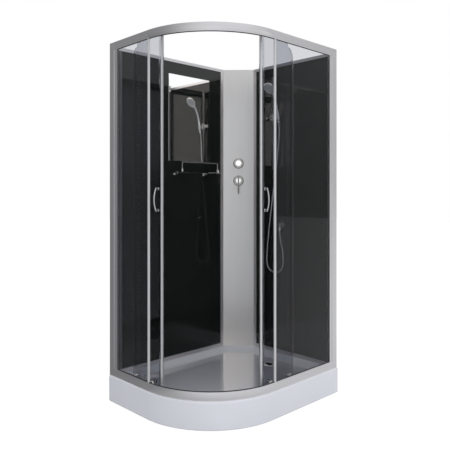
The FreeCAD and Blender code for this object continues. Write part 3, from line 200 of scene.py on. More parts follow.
sheet.links.new(sheet_lit.outputs[0], sheet_mix.inputs[2])
sheet_out = sheet.nodes.new("ShaderNodeOutputMaterial")
sheet.links.new(sheet_mix.outputs[0], sheet_out.inputs["Surface"])
floor.data.materials.append(paper)


# ---------------------------------------------------------------- aluminium rails, posts, profiles and trims
# Extruded aluminium, anodised to a satin silver, with die lines along each length and slightly
# broken edges. The rails are bent to the corner's radius and screwed between the wall posts.

grain = bpy.data.node_groups.new("Grain", "ShaderNodeTree")
for label, kind in (("Scale", "NodeSocketVector"), ("Low", "NodeSocketFloat"), ("High", "NodeSocketFloat"),
                    ("Relief", "NodeSocketFloat")):
    grain.interface.new_socket(name=label, in_out="INPUT", socket_type=kind)
grain.interface.new_socket(name="Value", in_out="OUTPUT", socket_type="NodeSocketFloat")
grain.interface.new_socket(name="Normal", in_out="OUTPUT", socket_type="NodeSocketVector")
grain_in = grain.nodes.new("NodeGroupInput")
grain_out = grain.nodes.new("NodeGroupOutput")
grain_place = grain.nodes.new("ShaderNodeTexCoord")
grain_map = grain.nodes.new("ShaderNodeMapping")
grain_noise = grain.nodes.new("ShaderNodeTexNoise")
grain_noise.inputs["Scale"].default_value = 1.0
grain_noise.inputs["Detail"].default_value = 3.0
grain_bump = grain.nodes.new("ShaderNodeBump")
grain_bump.inputs["Distance"].default_value = 0.0005
grain.links.new(grain_place.outputs["Object"], grain_map.inputs["Vector"])
grain.links.new(grain_in.outputs["Scale"], grain_map.inputs["Scale"])
grain.links.new(grain_map.outputs[0], grain_noise.inputs["Vector"])
grain_range = grain.nodes.new("ShaderNodeMapRange")
grain_range.inputs["From Min"].default_value = 0.3
grain_range.inputs["From Max"].default_value = 0.7
grain.links.new(grain_noise.outputs[0], grain_range.inputs["Value"])
grain.links.new(grain_in.outputs["Low"], grain_range.inputs["To Min"])
grain.links.new(grain_in.outputs["High"], grain_range.inputs["To Max"])
grain.links.new(grain_in.outputs["Relief"], grain_bump.inputs["Strength"])
grain.links.new(grain_noise.outputs[0], grain_bump.inputs["Height"])
grain.links.new(grain_range.outputs["Result"], grain_out.inputs["Value"])
grain.links.new(grain_bump.outputs[0], grain_out.inputs["Normal"])


def finish(name, colour, roughness, scale, relief=0.0, uneven=0.25, mottle=0.05, **fixed):
    """A Principled material whose roughness, tone and relief follow a noise stretched by scale: roughness
    swings by uneven to each side of its value, colour by mottle, with a coarser noise by tone_share."""
    tone_share = 0.31
    material = bpy.data.materials.new(name)
    material.use_nodes = True
    tree = material.node_tree
    surface = tree.nodes["Principled BSDF"]
    for socket, value in fixed.items():
        surface.inputs[socket.replace("_", " ")].default_value = value
    rough = tree.nodes.new("ShaderNodeGroup")
    rough.node_tree = grain
    rough.inputs["Scale"].default_value = scale
    rough.inputs["Low"].default_value = roughness * (1 - uneven)
    rough.inputs["High"].default_value = roughness * (1 + uneven)
    rough.inputs["Relief"].default_value = relief
    tree.links.new(rough.outputs["Value"], surface.inputs["Roughness"])
    if relief:
        tree.links.new(rough.outputs["Normal"], surface.inputs["Normal"])
    tone = tree.nodes.new("ShaderNodeGroup")
    tone.node_tree = grain
    tone.inputs["Scale"].default_value = [value * tone_share for value in scale]
    tone.inputs["Low"].default_value = 0.0
    tone.inputs["High"].default_value = 1.0
    blend = tree.nodes.new("ShaderNodeMix")
    blend.data_type = "RGBA"
    blend.inputs["A"].default_value = (*[value * (1 - mottle) for value in colour], 1)
    blend.inputs["B"].default_value = (*[min(1, value * (1 + mottle)) for value in colour], 1)
    tree.links.new(tone.outputs["Value"], blend.inputs["Factor"])
    tree.links.new(blend.outputs["Result"], surface.inputs["Base Color"])
    return material


def dress(material, *names, edge=0.0):
    """Gives CAD nodes their material, and a small broken edge where edge is not 0."""
    for name in names:
        piece = nodes[name]
        piece.data.materials.clear()
        piece.data.materials.append(material)
        if edge:
            welded = piece.modifiers.new("welded", "WELD")
            welded.merge_threshold = 1e-5
            broken = piece.modifiers.new("broken_edge", "BEVEL")
            broken.width = edge
            broken.segments = 2
            broken.limit_method = "ANGLE"
            broken.angle_limit = math.radians(50)


silver = (0.72, 0.72, 0.745)
upright_lines, level_lines = (500, 500, 3), (3, 3, 500)
upright_silver = finish("satin_silver_upright", silver, 0.38, upright_lines, relief=0.05, Metallic=1.0)
level_silver = finish("satin_silver_level", silver, 0.38, level_lines, relief=0.05, Metallic=1.0)
dress(upright_silver, "left_wall_post", "right_wall_post", "left_glass_profile", "right_glass_profile",
      "column_trims", edge=0.0006)
dress(level_silver, "top_rail", "bottom_rail", "wall_trims", edge=0.0006)


# ---------------------------------------------------------------- fixed panes and shelf glass
# Toughened float glass, 4 mm, lightly tinted grey, stands in the frame on both sides of the doors.
# The shelf is 6 mm clear glass with a polished green-grey edge, held in two clamps.


def glazing(name, tint, index):
    """Clear glass: the tint is what the whole pane lets through, and a coated pane has a low index."""
    polish, ripple = 0.006, (5, 5, 2)
    material = finish(name, tint, polish, ripple, uneven=0.5, mottle=0.01, Metallic=0.0, IOR=index)
    material.node_tree.nodes["Principled BSDF"].inputs["Transmission Weight"].default_value = 1.0
    return material


pane_index, shelf_index = 1.24, 1.5
dress(glazing("grey_tint_glass", (0.69, 0.70, 0.73), pane_index), "left_fixed_glass", "right_fixed_glass")
dress(glazing("shelf_glass", (0.85, 0.93, 0.90), shelf_index), "shelf_glass", edge=0.001)


# ---------------------------------------------------------------- black wall glass and mirror
# Float glass, 5 mm, painted black on its back, stands in grooved aluminium trims. A silvered mirror with
# ground edges is bonded to the long wall.

black_glass = finish("black_back_painted_glass", (0.012, 0.0145, 0.0135), 0.015, (4, 4, 4), uneven=0.5,
                     mottle=0.1, Metallic=0.0, Specular_IOR_Level=0.36)
dress(black_glass, "long_wall_glass", "short_wall_glass")
silvering = finish("silvering", (0.86, 0.87, 0.88), 0.012, (5, 5, 5), uneven=0.8, mottle=0.01, Metallic=1.0)
dress(silvering, "mirror", edge=0.002)


# ---------------------------------------------------------------- column panel
# One folded aluminium sheet, 3 mm, painted a satin silver grey, closes the back corner between the two
# walls. The mixer and its pipes are fixed behind it.

silver_paint = finish("silver_grey_paint", (0.645, 0.645, 0.65), 0.34, (220, 220, 4), relief=0.006,
                      uneven=0.06, mottle=0.012, Metallic=0.7)
dress(silver_paint, "column_panel")


# ---------------------------------------------------------------- tray
# A vacuum-formed acrylic shell, 5 mm, glossy pale grey: an apron to the floor at the front, a rounded
# rim, a sloping dish and a floor that falls a little to the waste. Board, tubes and feet carry it.

half_x, half_y = 0.560, 0.444
tray_half = np.array([half_x, half_y])
tray_arc = np.array([-0.068, 0.048])
tray_radius = 0.492
rim_low, rim_round = 0.143, 0.009
skirt_behind, apron_foot = 0.112, 0.0005
apron_right, apron_left = -0.364, -0.480
floor_level, floor_fall = 0.1205, 0.0008
waste_place, waste_hole = np.array([0.357, -0.036]), 0.0285
bevel_sum, bevel_inset, dish_inset = 0.7865, 0.032, 0.034
far = 2.0


def tray_plan(inset, angles, cut):
    """Ring of the tray's plan at an inset: rays from the middle to the nearest of four sides, the bevel
    before the column and the corner arc. Corners are eased by a high power mean of the distances."""
    c, s = np.cos(angles), np.sin(angles)
    half = tray_half - inset
    side_x = half[0] / np.maximum(np.abs(c), 1e-6)
    side_y = half[1] / np.maximum(np.abs(s), 1e-6)
    bevel = cut / np.maximum(c + s, 1e-3)
    power = 60.0
    nearest = (side_x ** -power + side_y ** -power + bevel ** -power) ** (-1 / power)
    radius = tray_radius - inset
    along = c * tray_arc[0] + s * tray_arc[1]
    inside = radius ** 2 - (tray_arc @ tray_arc) + along ** 2
    round_part = along + np.sqrt(np.maximum(inside, 0))
    corner = (round_part * c < tray_arc[0]) & (round_part * s < tray_arc[1])
    length = np.where(corner, round_part, nearest)
    return np.stack([length * c, length * s], axis=1)


def skin(name, grid, material, sharp=40):
    """A mesh over a grid of points, rows by columns, closed around its columns. Points that coincide, as at
    a pole, become one, and the faces are turned outwards."""
    merge = 1e-6
    rows, columns = grid.shape[:2]
    index = np.arange(rows * columns).reshape(rows, columns)
    index = np.hstack([index, index[:, :1]])
    faces = np.stack([index[:-1, :-1], index[:-1, 1:], index[1:, 1:], index[1:, :-1]], axis=-1)
    mesh = bpy.data.meshes.new(name)
    mesh.from_pydata(grid.reshape(-1, 3).tolist(), [], faces.reshape(-1, 4).tolist())
    shell = bmesh.new()
    shell.from_mesh(mesh)
    bmesh.ops.remove_doubles(shell, verts=shell.verts, dist=merge)
    bmesh.ops.recalc_face_normals(shell, faces=shell.faces)
    shell.to_mesh(mesh)
    shell.free()
    mesh.shade_smooth()
    mesh.set_sharp_from_angle(angle=math.radians(sharp))
    mesh.materials.append(material)
    piece = bpy.data.objects.new(name, mesh)
    bpy.context.scene.collection.objects.link(piece)
    return piece


bevel_ends = ((half_x, 0.2845), (0.3605, half_y))
corners = np.array([(half_x, half_y), (-half_x, half_y), (half_x, -half_y), *bevel_ends])
near_corner = np.linspace(-0.06, 0.06, 25)
tray_angles = [np.linspace(-np.pi, np.pi, 240, endpoint=False)]
tray_angles += [corner + near_corner for corner in np.arctan2(corners[:, 1], corners[:, 0])]
tray_angles = np.sort(np.concatenate(tray_angles))


def bevel_at(inset):
    """x + y of the dish's bevel at an inset, parallel to the column panel."""
    return bevel_sum - (inset - bevel_inset) * math.sqrt(2) if inset > dish_inset else far


apron_shares = (0.0, 0.03, 0.5, 0.97)
floor_shares = (0.04, 0.12, 0.3, 0.5, 0.7, 0.85, 0.93, 0.97, 1.0)
turns = np.linspace(0, np.pi / 2, 7)
rim = zip(rim_round * (1 - np.cos(turns)), rim_low + rim_round * np.sin(turns))
dish = [(0.0385, 0.152), (0.0415, 0.1513), (0.0445, 0.1495), (0.060, 0.1403), (0.080, 0.1285),
        (0.089, 0.1232), (0.094, 0.1212), (0.100, floor_level)]
behind = (tray_angles > math.atan2(apron_right, half_x)) & (tray_angles < math.atan2(half_y, apron_left))
skirt_low = np.where(behind, skirt_behind, apron_foot)
rings = []
for share in apron_shares:
    ring = tray_plan(0.0, tray_angles, far)
    rings.append(np.column_stack([ring, skirt_low + (rim_low - skirt_low) * share]))
for inset, height in (*rim, *dish):
    ring = tray_plan(inset, tray_angles, bevel_at(inset))
    rings.append(np.column_stack([ring, np.full(len(ring), height)]))
floor_ring = rings[-1][:, :2]
towards = floor_ring - waste_place
waste_ring = waste_place + waste_hole * towards / np.linalg.norm(towards, axis=1, keepdims=True)
for share in floor_shares:
    ring = floor_ring + (waste_ring - floor_ring) * share
    rings.append(np.column_stack([ring, np.full(len(ring), floor_level - floor_fall * share ** 2)]))
acrylic = finish("pale_grey_acrylic", (0.64, 0.655, 0.715), 0.05, (9, 9, 9), relief=0.01, uneven=0.3,
                 mottle=0.015, Coat_Weight=1.0)
tray = skin("tray_acrylic", np.array(rings), acrylic, sharp=50)
shell_wall = 0.0045
wall = tray.modifiers.new("wall", "SOLIDIFY")
wall.thickness = shell_wall
wall.offset = -1
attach(tray, "cabin")
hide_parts("tray_shell")
zinc = finish("zinc_plate", (0.55, 0.56, 0.58), 0.5, (40, 40, 40), relief=0.2, uneven=0.4, mottle=0.15,
              Metallic=1.0)
dress(zinc, "tray_underframe", "tray_feet")
chipboard = finish("sealed_chipboard", (0.42, 0.31, 0.18), 0.8, (350, 350, 350), relief=0.5, uneven=0.2,
                   mottle=0.4)
dress(chipboard, "tray_base_board")
dress(finish("white_trap_plastic", (0.78, 0.78, 0.77), 0.4, (100, 100, 100), relief=0.05), "waste_trap")


# ---------------------------------------------------------------- chrome fittings
# Turned brass, polished and plated: bright chrome on the waste cover, the shelf's clamps, the handset's
# holder and the nuts, and a smoked one on the elbow, the slider and its knob. The riser is black chrome.
# Behind the column the mixer is cast brass, with a steel spindle and a copper pipe to the elbow.

chrome = finish("polished_chrome", (0.88, 0.88, 0.89), 0.06, (60, 60, 60), uneven=0.4, mottle=0.02,
                Metallic=1.0)
# The darker chrome also dresses the mixer's blade, and there its darkness is painted shade.
darker_chrome = finish("darker_chrome_finish", (0.36, 0.36, 0.35), 0.14, (60, 60, 60), uneven=0.4, mottle=0.02,
                Metallic=1.0)
black_chrome = finish("black_chrome", (0.13, 0.13, 0.13), 0.12, (60, 60, 60), uneven=0.4, mottle=0.02,
                      Metallic=1.0)
dress(chrome, "waste_cover", "shelf_brackets", "handset_holder", "hose_top_nut", "hose_bottom_nut",
      edge=0.0005)
dress(darker_chrome, "wall_elbow", "slider", "slider_knob", edge=0.0005)
dress(black_chrome, "riser_rail", edge=0.0005)
dress(finish("cast_brass", (0.72, 0.55, 0.27), 0.35, (150, 150, 150), relief=0.15, Metallic=1.0),
      "mixer_body")
dress(finish("drawn_copper", (0.76, 0.42, 0.27), 0.3, (90, 90, 12), relief=0.1, Metallic=1.0), "feed_pipe")
dress(finish("turned_steel", (0.60, 0.60, 0.62), 0.3, (300, 300, 300), relief=0.1, Metallic=1.0),
      "mixer_spindle")


# ---------------------------------------------------------------- glazing rubbers
# Black rubber holds the panes in the rails and the posts, and shows as a thin dark line where
# glass and metal meet. The rail's own rubber follows the rounded corner.

opening_low, opening_high = 0.199, 2.103
lip, lip_round = 0.0012, 0.0004
rubber_black = finish("black_glazing_rubber", (0.03, 0.03, 0.033), 0.55, (160, 160, 160), relief=0.05)


def frame_line(inset, back_left, back_right):
    """Plan of a line along the frame at an inset from the tray's edge: a straight side, a quarter of a
    circle about the corner's centre and the other straight side."""
    bend = np.linspace(math.pi, 1.5 * math.pi, 49)
    round_part = tray_arc + (tray_radius - inset) * np.column_stack([np.cos(bend), np.sin(bend)])
    return np.vstack([[-tray_half[0] + inset, back_left], round_part, [back_right, -tray_half[1] + inset]])


def closed(grid):
    """The grid with one ring more at each end, drawn together to a point in the end ring's middle."""
    first, last = [np.repeat(ring.mean(axis=0)[None], len(ring), axis=0) for ring in (grid[0], grid[-1])]
    return np.concatenate([first[None], grid, last[None]])


def rubber_along(plan, low, high):
    """Grid of a flat rubber strip along a plan line, between two heights. It stands inward of the line, at
    right angles to the line's own direction, by the width of its lip."""
    ahead = np.gradient(plan, axis=0)
    ahead /= np.linalg.norm(ahead, axis=1, keepdims=True)
    inward = np.column_stack([-ahead[:, 1], ahead[:, 0]])
    section = ((0.0, low), (0.0, high), (lip, high), (lip, low))
    rows = [np.column_stack([plan + inward * step, np.full(len(plan), height)]) for step, height in section]
    return closed(np.stack(rows, axis=1))


def upright(plan, low, high):
    """Grid of an upright bar over a ring of plan points, closed at both heights."""
    return closed(np.array([np.column_stack([plan, np.full(len(plan), height)]) for height in (low, high)]))


def post_bar(x_low, x_high, y_low, y_high, z_low, z_high, round_off):
    """Grid of an upright bar whose section is a rectangle with rounded corners: a small circle, its
    quarters moved apart to the corners."""
    bend = np.linspace(0, 2 * np.pi, 24, endpoint=False)
    circle = np.column_stack([np.cos(bend), np.sin(bend)])
    quarter = np.sign(np.round(circle, 6))
    middle = np.array([(x_low + x_high) / 2, (y_low + y_high) / 2])
    straight = np.array([(x_high - x_low) / 2, (y_high - y_low) / 2]) - round_off
    return upright(middle + quarter * straight + round_off * circle, z_low, z_high)


def gather(name, grids, material):
    """One piece from several closed grids: each is made a mesh, and the meshes are joined."""
    made = [skin(name + "_part", grid, material) for grid in grids]
    with bpy.context.temp_override(active_object=made[0], selected_editable_objects=made):
        bpy.ops.object.join()
    made[0].name = name
    made[0].data.name = name
    return made[0]


frame_inset, left_end, right_end = 0.0115, 0.358, 0.477
top_rubber, foot_rubber = (2.0985, 2.1035), (0.1985, 0.2040)
frame_face = frame_line(frame_inset, left_end, right_end)
rubbers = [rubber_along(frame_face, *top_rubber), rubber_along(frame_face, *foot_rubber),
           post_bar(-0.5485, -0.5473, 0.3530, 0.3605, opening_low, opening_high, lip_round),
           post_bar(0.4715, 0.4790, -0.4325, -0.4313, opening_low, opening_high, lip_round)]
glazing_rubber = gather("glazing_rubbers", rubbers, rubber_black)
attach(glazing_rubber, "cabin")


# ---------------------------------------------------------------- jambs, door edges and the wall's end trim
# Slim lacquered aluminium profiles with rounded faces stand on the free edges of the panes and doors.
# Behind a door's bright nose a clear vinyl strip grips its glass. A narrow grey bar closes the long wall
# beside its post.

bright_silver = finish("bright_silver_lacquer", (0.555, 0.555, 0.575), 0.38, upright_lines, relief=0.03,
                       Metallic=0.3)
jamb_round, trim_round = 0.0030, 0.0015
left_jamb = skin("left_slim_jamb", post_bar(-0.5500, -0.5400, 0.0440, 0.0580, opening_low, opening_high,
                                            jamb_round), bright_silver)
right_jamb = skin("right_slim_jamb", post_bar(-0.0430, -0.0290, -0.4340, -0.4240, opening_low, opening_high,
                                              jamb_round), bright_silver)
for jamb, node in ((left_jamb, "left_jamb_profile"), (right_jamb, "right_jamb_profile")):
    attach(jamb, "cabin")
    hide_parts(node)
end_trim = skin("wall_end_trim", post_bar(-0.5020, -0.4800, 0.4085, 0.4138, 0.178, 2.110, trim_round),
                finish("grey_anodised", (0.20, 0.20, 0.21), 0.4, upright_lines, relief=0.03, Metallic=0.8))
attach(end_trim, "cabin")

door_radius = 0.432
meeting_line = 225
to_meeting = {"left": 1, "right": -1}
door_turn = {"left": ((0.081, 0.094), math.radians(-27.7)), "right": ((-0.014, 0.224), math.radians(28.4))}


def door_sheet(side, degrees, radius, level):
    """Points on the open door: the closed door's cylinder about the corner's centre, at a number of degrees
    from the meeting line, a radius and a level, turned about the door's pivot."""
    pivot, turn = door_turn[side]
    angle = np.radians(meeting_line - to_meeting[side] * degrees)
    x = tray_arc[0] + radius * np.cos(angle) - pivot[0]
    y = tray_arc[1] + radius * np.sin(angle) - pivot[1]
    c, s = math.cos(turn), math.sin(turn)
    return np.stack([pivot[0] + c * x - s * y, pivot[1] + s * x + c * y, level], axis=-1)


def on_door(side, degrees, level):
    """Point on the open door's glass and its outward and sideways directions: outward is the way from the
    corner's centre, turned as the door is, and sideways is at right angles to it."""
    facing = math.radians(meeting_line - to_meeting[side] * degrees) + door_turn[side][1]
    out = np.array([math.cos(facing), math.sin(facing), 0])
    return door_sheet(side, degrees, door_radius, level), out, np.array([-out[1], out[0], 0])


def door_bar(side, degrees, half_deep, back, front, low, high):
    """Grid of an upright bar on the open door: its section is a superellipse, half_deep to each side of the
    glass and from back to front along the door, towards the meeting line."""
    square = 0.35
    centre, out, sideways = on_door(side, degrees, 0)
    bend = np.linspace(0, 2 * np.pi, 40, endpoint=False)
    across = half_deep * np.sign(np.cos(bend)) * np.abs(np.cos(bend)) ** square
    beside = (back + front) / 2 + (front - back) / 2 * np.sign(np.sin(bend)) * np.abs(np.sin(bend)) ** square
    plan = centre + np.outer(across, out) + np.outer(to_meeting[side] * beside, sideways)
    return upright(plan[:, :2], low, high)


edge_low, edge_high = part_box("left_door_edge_profile")[0][2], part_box("left_door_edge_profile")[1][2]
pane_start, pane_end = 2.2, 47.1
slot_half = 0.006
slot_middle = pane_start + math.degrees(slot_half / door_radius)
nose_size, grip_size = (0.0050, 0.0045, 0.0180), (0.0038, -0.0080, 0.0050)
vinyl_index = 1.10
clear_vinyl = glazing("clear_vinyl", (0.80, 0.81, 0.83), vinyl_index)
for side in ("left", "right"):
    nose = skin(side + "_door_nose", door_bar(side, slot_middle, *nose_size, edge_low, edge_high),
                bright_silver)
    grip = skin(side + "_door_grip", door_bar(side, slot_middle, *grip_size, edge_low, edge_high),
                clear_vinyl)
    for piece, slot in ((nose, "satin_aluminium"), (grip, "seal")):
        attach(piece, side + "_door")
        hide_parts(side + "_door_edge_profile")


# ---------------------------------------------------------------- door panes
# Bent toughened glass, 4 mm. The upper corner away from the meeting line is cut to a long ellipse, and a
# tab beside it carries the upper trailing roller behind the rail.

pane_half = 0.002
pane_low, pane_high = 0.166, 2.146
cut_long, cut_high, cut_foot = 0.105, 0.048, 2.055
tab_step = 0.006
pane_long = math.radians(pane_end - pane_start) * door_radius
from_far = np.concatenate([cut_long * (1 - np.cos(np.linspace(0, np.pi / 2, 17))),
                           np.linspace(cut_long + tab_step, pane_long, 30)])
cut_share = np.clip(1 - from_far / cut_long, 0, 1)
cut_edge = cut_foot + cut_high * np.sqrt(1 - cut_share ** 2)
ones = np.ones(len(from_far))
foot, top = ones * pane_low, np.where(from_far <= cut_long + tab_step / 2, cut_edge, pane_high)
inner, outer = ones * (door_radius - pane_half), ones * (door_radius + pane_half)
pane_radii = np.stack([inner, outer, outer, inner], axis=1)
pane_levels = np.stack([foot, foot, top, top], axis=1)
pane_degrees = np.outer(pane_end - np.degrees(from_far / door_radius), np.ones(4))
door_index = 1.08
door_tint = glazing("door_glass", (0.58, 0.595, 0.63), door_index)
for side in ("left", "right"):
    pane_grid = closed(door_sheet(side, pane_degrees, pane_radii, pane_levels))
    pane = skin(side + "_bent_pane", pane_grid, door_tint)
    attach(pane, side + "_door")
    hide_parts(side + "_door_glass")


# ---------------------------------------------------------------- door seals and rollers
# Clear soft strips on the door edges, a magnet strip at the meeting line and a wiper at the far edge, and
# acetal rollers on steel axles through the glass.

magnet_size, wiper_size = (0.0045, 0.0181, 0.0221), (0.0031, -0.0010, 0.0080)
wiper_low, wiper_high = pane_low + 0.001, cut_foot - 0.005
for side in ("left", "right"):
    strips = [door_bar(side, slot_middle, *magnet_size, edge_low, edge_high),
              door_bar(side, pane_end, *wiper_size, wiper_low, wiper_high)]
    seals = gather(side + "_clear_seals", strips, clear_vinyl)
    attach(seals, side + "_door")
    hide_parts(side + "_door_seals")
dress(chrome, "left_door_hangers", "right_door_hangers", edge=0.0005)
acetal = finish("white_acetal", (0.82, 0.82, 0.80), 0.35, (200, 200, 200), relief=0.03)
for side in ("left", "right"):
    for height in ("top", "bottom"):
        for place in ("leading", "trailing"):
            dress(acetal, "%s_%s_%s_wheel" % (side, height, place), edge=0.0006)


# ---------------------------------------------------------------- door handles
# A chromed bow on two studs through the glass, with a round button inside. The bar is 8.4 mm thick and
# its ends are domed.

handle_degrees, handle_level = 5.1, 1.2115
chord, rise, stand = 0.068, 0.019, 0.017
bar_radius, stud_step = 0.0042, 0.06
up = np.array([0, 0, 1.0])


def tube(path, radii, sides=24, reference=(0, 0, 1)):
    """Grid of rings along a path: each ring lies across the path's direction with its own radius."""
    path = np.asarray(path, float)
    radii = np.broadcast_to(np.asarray(radii, float), len(path))
    ahead = np.gradient(path, axis=0)
    ahead /= np.linalg.norm(ahead, axis=1, keepdims=True)
    first = np.cross(ahead, np.asarray(reference, float))
    first /= np.linalg.norm(first, axis=1, keepdims=True)
    second = np.cross(ahead, first)
    turn = np.linspace(0, 2 * np.pi, sides, endpoint=False)
    circles = first[:, None] * np.cos(turn)[None, :, None] + second[:, None] * np.sin(turn)[None, :, None]
    return path[:, None] + circles * radii[:, None, None]


def turned(outline, centre, axis, sides=40):
    """Grid of a turned piece: outline gives radius and distance along the axis, and is carried round the
    axis in equal steps."""
    axis = np.asarray(axis, float) / np.linalg.norm(axis)
    helper = np.array([0, 0, 1.0]) if abs(axis[2]) < 0.9 else np.array([1.0, 0, 0])
    first = np.cross(helper, axis)
    first /= np.linalg.norm(first)
    second = np.cross(axis, first)
    turn = np.linspace(0, 2 * np.pi, sides, endpoint=False)
    circle = first[None] * np.cos(turn)[:, None] + second[None] * np.sin(turn)[:, None]
    radii, along = np.asarray(outline, float).T[:, :, None, None]
    return np.asarray(centre) + radii * circle[None] + along * axis


stud = [(0.0, 0.002), (0.0085, 0.002), (0.0085, 0.0035), (0.0062, 0.005), (0.0055, 0.010), (0.0050, 0.019),
        (0.0050, 0.023), (0.0, 0.0245)]
button = [(0.0, 0.0022), (0.0088, 0.0022), (0.0092, 0.003), (0.0088, 0.0055), (0.006, 0.007), (0.0, 0.0075)]
bolt = [(0.0, -0.0025), (0.0035, -0.0025), (0.0035, 0.0025), (0.0, 0.0025)]
bow_radius = (chord ** 2 + rise ** 2) / (2 * rise)
reach = math.asin(chord / bow_radius)
swing = np.linspace(-reach, reach, 41)
bow_out = stand + rise - bow_radius + bow_radius * np.cos(swing)
from_end = (reach - np.abs(swing)) * bow_radius
dome = np.clip(1 - (1 - np.minimum(from_end / bar_radius, 1)) ** 2, 0, 1)
satin_chrome = finish("satin_chrome", (0.60, 0.60, 0.62), 0.16, (60, 60, 60), uneven=0.4, mottle=0.02,
                      Metallic=1.0)
for side in ("left", "right"):
    centre, out, sideways = on_door(side, handle_degrees, handle_level)
    bow = centre + np.outer(bow_out, out) + np.outer(bow_radius * np.sin(swing), up)
    grids = [tube(bow, bar_radius * np.sqrt(dome), reference=sideways)]
    for step in (-stud_step, stud_step):
        at = centre + up * step
        grids += [turned(stud, at, out), turned(button, at, -out), turned(bolt, at, out)]
    handle = gather(side + "_bow_handle", grids, satin_chrome)
    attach(handle, side + "_door")
    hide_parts(side + "_door_handle")


# ---------------------------------------------------------------- shelf rail
# A bent wire rail, 6 mm, keeps bottles on the shelf. Its two posts stand in bright turned sleeves on the
# glass.

dress(finish("brushed_wire", (0.42, 0.42, 0.43), 0.3, (150, 150, 20), relief=0.05, Metallic=1.0),
      "shelf_guard_rail")
guard_low, guard_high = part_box("shelf_guard_rail")
wire = 0.003
sleeve = [(0.0, 0.0002), (0.0068, 0.0002), (0.0068, 0.0020), (0.0058, 0.0032), (0.0058, 0.0150),
          (0.0050, 0.0172), (0.0, 0.0175)]
sleeves = [turned(sleeve, (across, guard_low[1] + wire, guard_low[2]), up)
           for across in (guard_low[0] + wire, guard_high[0] - wire)]
sleeve_pair = gather("shelf_post_sleeves", sleeves, chrome)
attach(sleeve_pair, "cabin")


# ---------------------------------------------------------------- mixer lever and diverter knob
# Chromed castings on the column: a ball with a thin hanging blade that lifts and turns, and above it a
# knob with shallow flutes that sends water to the hand shower.

lever_level, lever_stand, knob_level = 1.336, 0.0255, 1.46
blade_top, blade_long = 0.036, 0.134
blade_stand, blade_bow = 0.0125, 0.003
blade_wide, blade_narrows, blade_thick, blade_thins = 0.0056, 0.0018, 0.0075, 0.0035
fine_sides, blade_sides = 64, 28
column_out = np.array([-math.sqrt(0.5), -math.sqrt(0.5), 0])
column_side = np.array([math.sqrt(0.5), -math.sqrt(0.5), 0])
column_face = np.array([0.45125, 0.33525, 0])
mixer_centre = column_face + up * lever_level + column_out * lever_stand
hub = [(0.0, -0.0170), (0.0060, -0.0158), (0.0110, -0.0131), (0.0148, -0.0087), (0.0174, -0.0025),
       (0.0188, 0.0040), (0.0190, 0.0130), (0.0188, 0.0158), (0.0183, 0.0170), (0.0176, 0.0176),
       (0.0171, 0.01775), (0.0167, 0.017752), (0.008, 0.0178), (0.0, 0.0178)]
fall = np.linspace(0, 1, 33)
forward = blade_stand + blade_bow * np.sin(np.pi * fall)
blade_line = mixer_centre + np.outer(forward, column_out) + np.outer(blade_top - blade_long * fall, up)
cap = np.sqrt(np.clip(1 - (2 * np.abs(fall - 0.5)) ** 14, 0, 1))
half_wide = (blade_wide - blade_narrows * fall) * cap
half_thick = (blade_thick - blade_thins * fall) * cap
blade_turn = np.linspace(0, 2 * np.pi, blade_sides, endpoint=False)
oval = 0.8
oval_side = np.sign(np.cos(blade_turn)) * np.abs(np.cos(blade_turn)) ** oval
oval_out = np.sign(np.sin(blade_turn)) * np.abs(np.sin(blade_turn)) ** oval
blade_grid = (blade_line[:, None] + half_wide[:, None, None] * oval_side[None, :, None] * column_side
              + half_thick[:, None, None] * oval_out[None, :, None] * column_out)
lever_hub = skin("mixer_hub_chrome", turned(hub, mixer_centre, column_out, fine_sides), chrome)
# The blade takes the darker chrome as painted shade. It is the same chromed casting as the hub, darkened to
# stand for the dark walls it reflects.
blade = skin("mixer_lever_chrome", blade_grid, darker_chrome)
for piece in (lever_hub, blade):
    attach(piece, "mixer_lever_body")
    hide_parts("mixer_lever")
dress(darker_chrome, "control_plates", edge=0.0008)

knob_sides, flute_count, flute_depth, flat_radius = 96, 6, 0.07, 0.0195
knob_centre = column_face + up * knob_level
knob_outline = [(0.0, 0.0065), (0.020, 0.0065), (0.0228, 0.009), (0.0228, 0.014), (0.0222, 0.024),
                (0.0219, 0.0290), (0.0216, 0.0308), (0.0211, 0.0317), (0.0204, 0.0321), (0.0200, 0.03215),
                (0.0194, 0.03216), (0.008, 0.0322), (0.0, 0.0322)]
knob_grid = turned(knob_outline, knob_centre, column_out, knob_sides)
knob_radii, knob_steps = np.array(knob_outline).T[:, :, None, None]
from_axis = knob_grid - (knob_centre + knob_steps * column_out)
knob_turn = np.linspace(0, 2 * np.pi, knob_sides, endpoint=False)
flute = flute_depth * np.clip(np.cos(flute_count * knob_turn), 0, 1) ** 2
knob_grid = knob_grid - from_axis * flute[None, :, None] * (knob_radii > flat_radius)
knob = skin("diverter_knob_chrome", knob_grid, chrome)
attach(knob, "diverter")
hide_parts("diverter_knob")


# ---------------------------------------------------------------- hand shower
# A chromed plastic handset: a tapering handle that bends forward into a round head, whose face is a pale
# grey plate with soft grey rubber nozzles in rings.

handset_base = np.array([0.505, 0.008, 1.765])
lean, head_back = math.radians(10), math.radians(48)
handset_up = np.array([-math.sin(lean), 0, math.cos(lean)])
handset_fore = np.array([-math.cos(lean), 0, -math.sin(lean)])
foot_drop, handle_long, head_sink, bend_out = -0.024, 0.222, 0.004, 0.040
head_up, head_fore = 0.196, 0.062
spine = np.linspace(0, 1, 36)
spine_up = foot_drop + handle_long * spine - head_sink * spine ** 6
spine_fore = bend_out * spine ** 3.2
spine_path = handset_base + np.outer(spine_up, handset_up) + np.outer(spine_fore, handset_fore)
foot_radius, waist, swell = 0.0106, 0.0028, 0.0065
slimmer = waist * np.sin(np.pi * np.clip((spine - 0.2) / 0.8, 0, 1)) ** 0.7
handle_radii = foot_radius - slimmer + swell * spine ** 5
handle_radii[0] = handle_radii[-1] = 0.0
handle_grid = tube(spine_path, handle_radii, reference=(0, 1, 0))
head_axis = np.array([math.sin(head_back), 0, math.cos(head_back)])
head_first = np.array([0, 1.0, 0])
head_second = np.cross(head_axis, head_first)
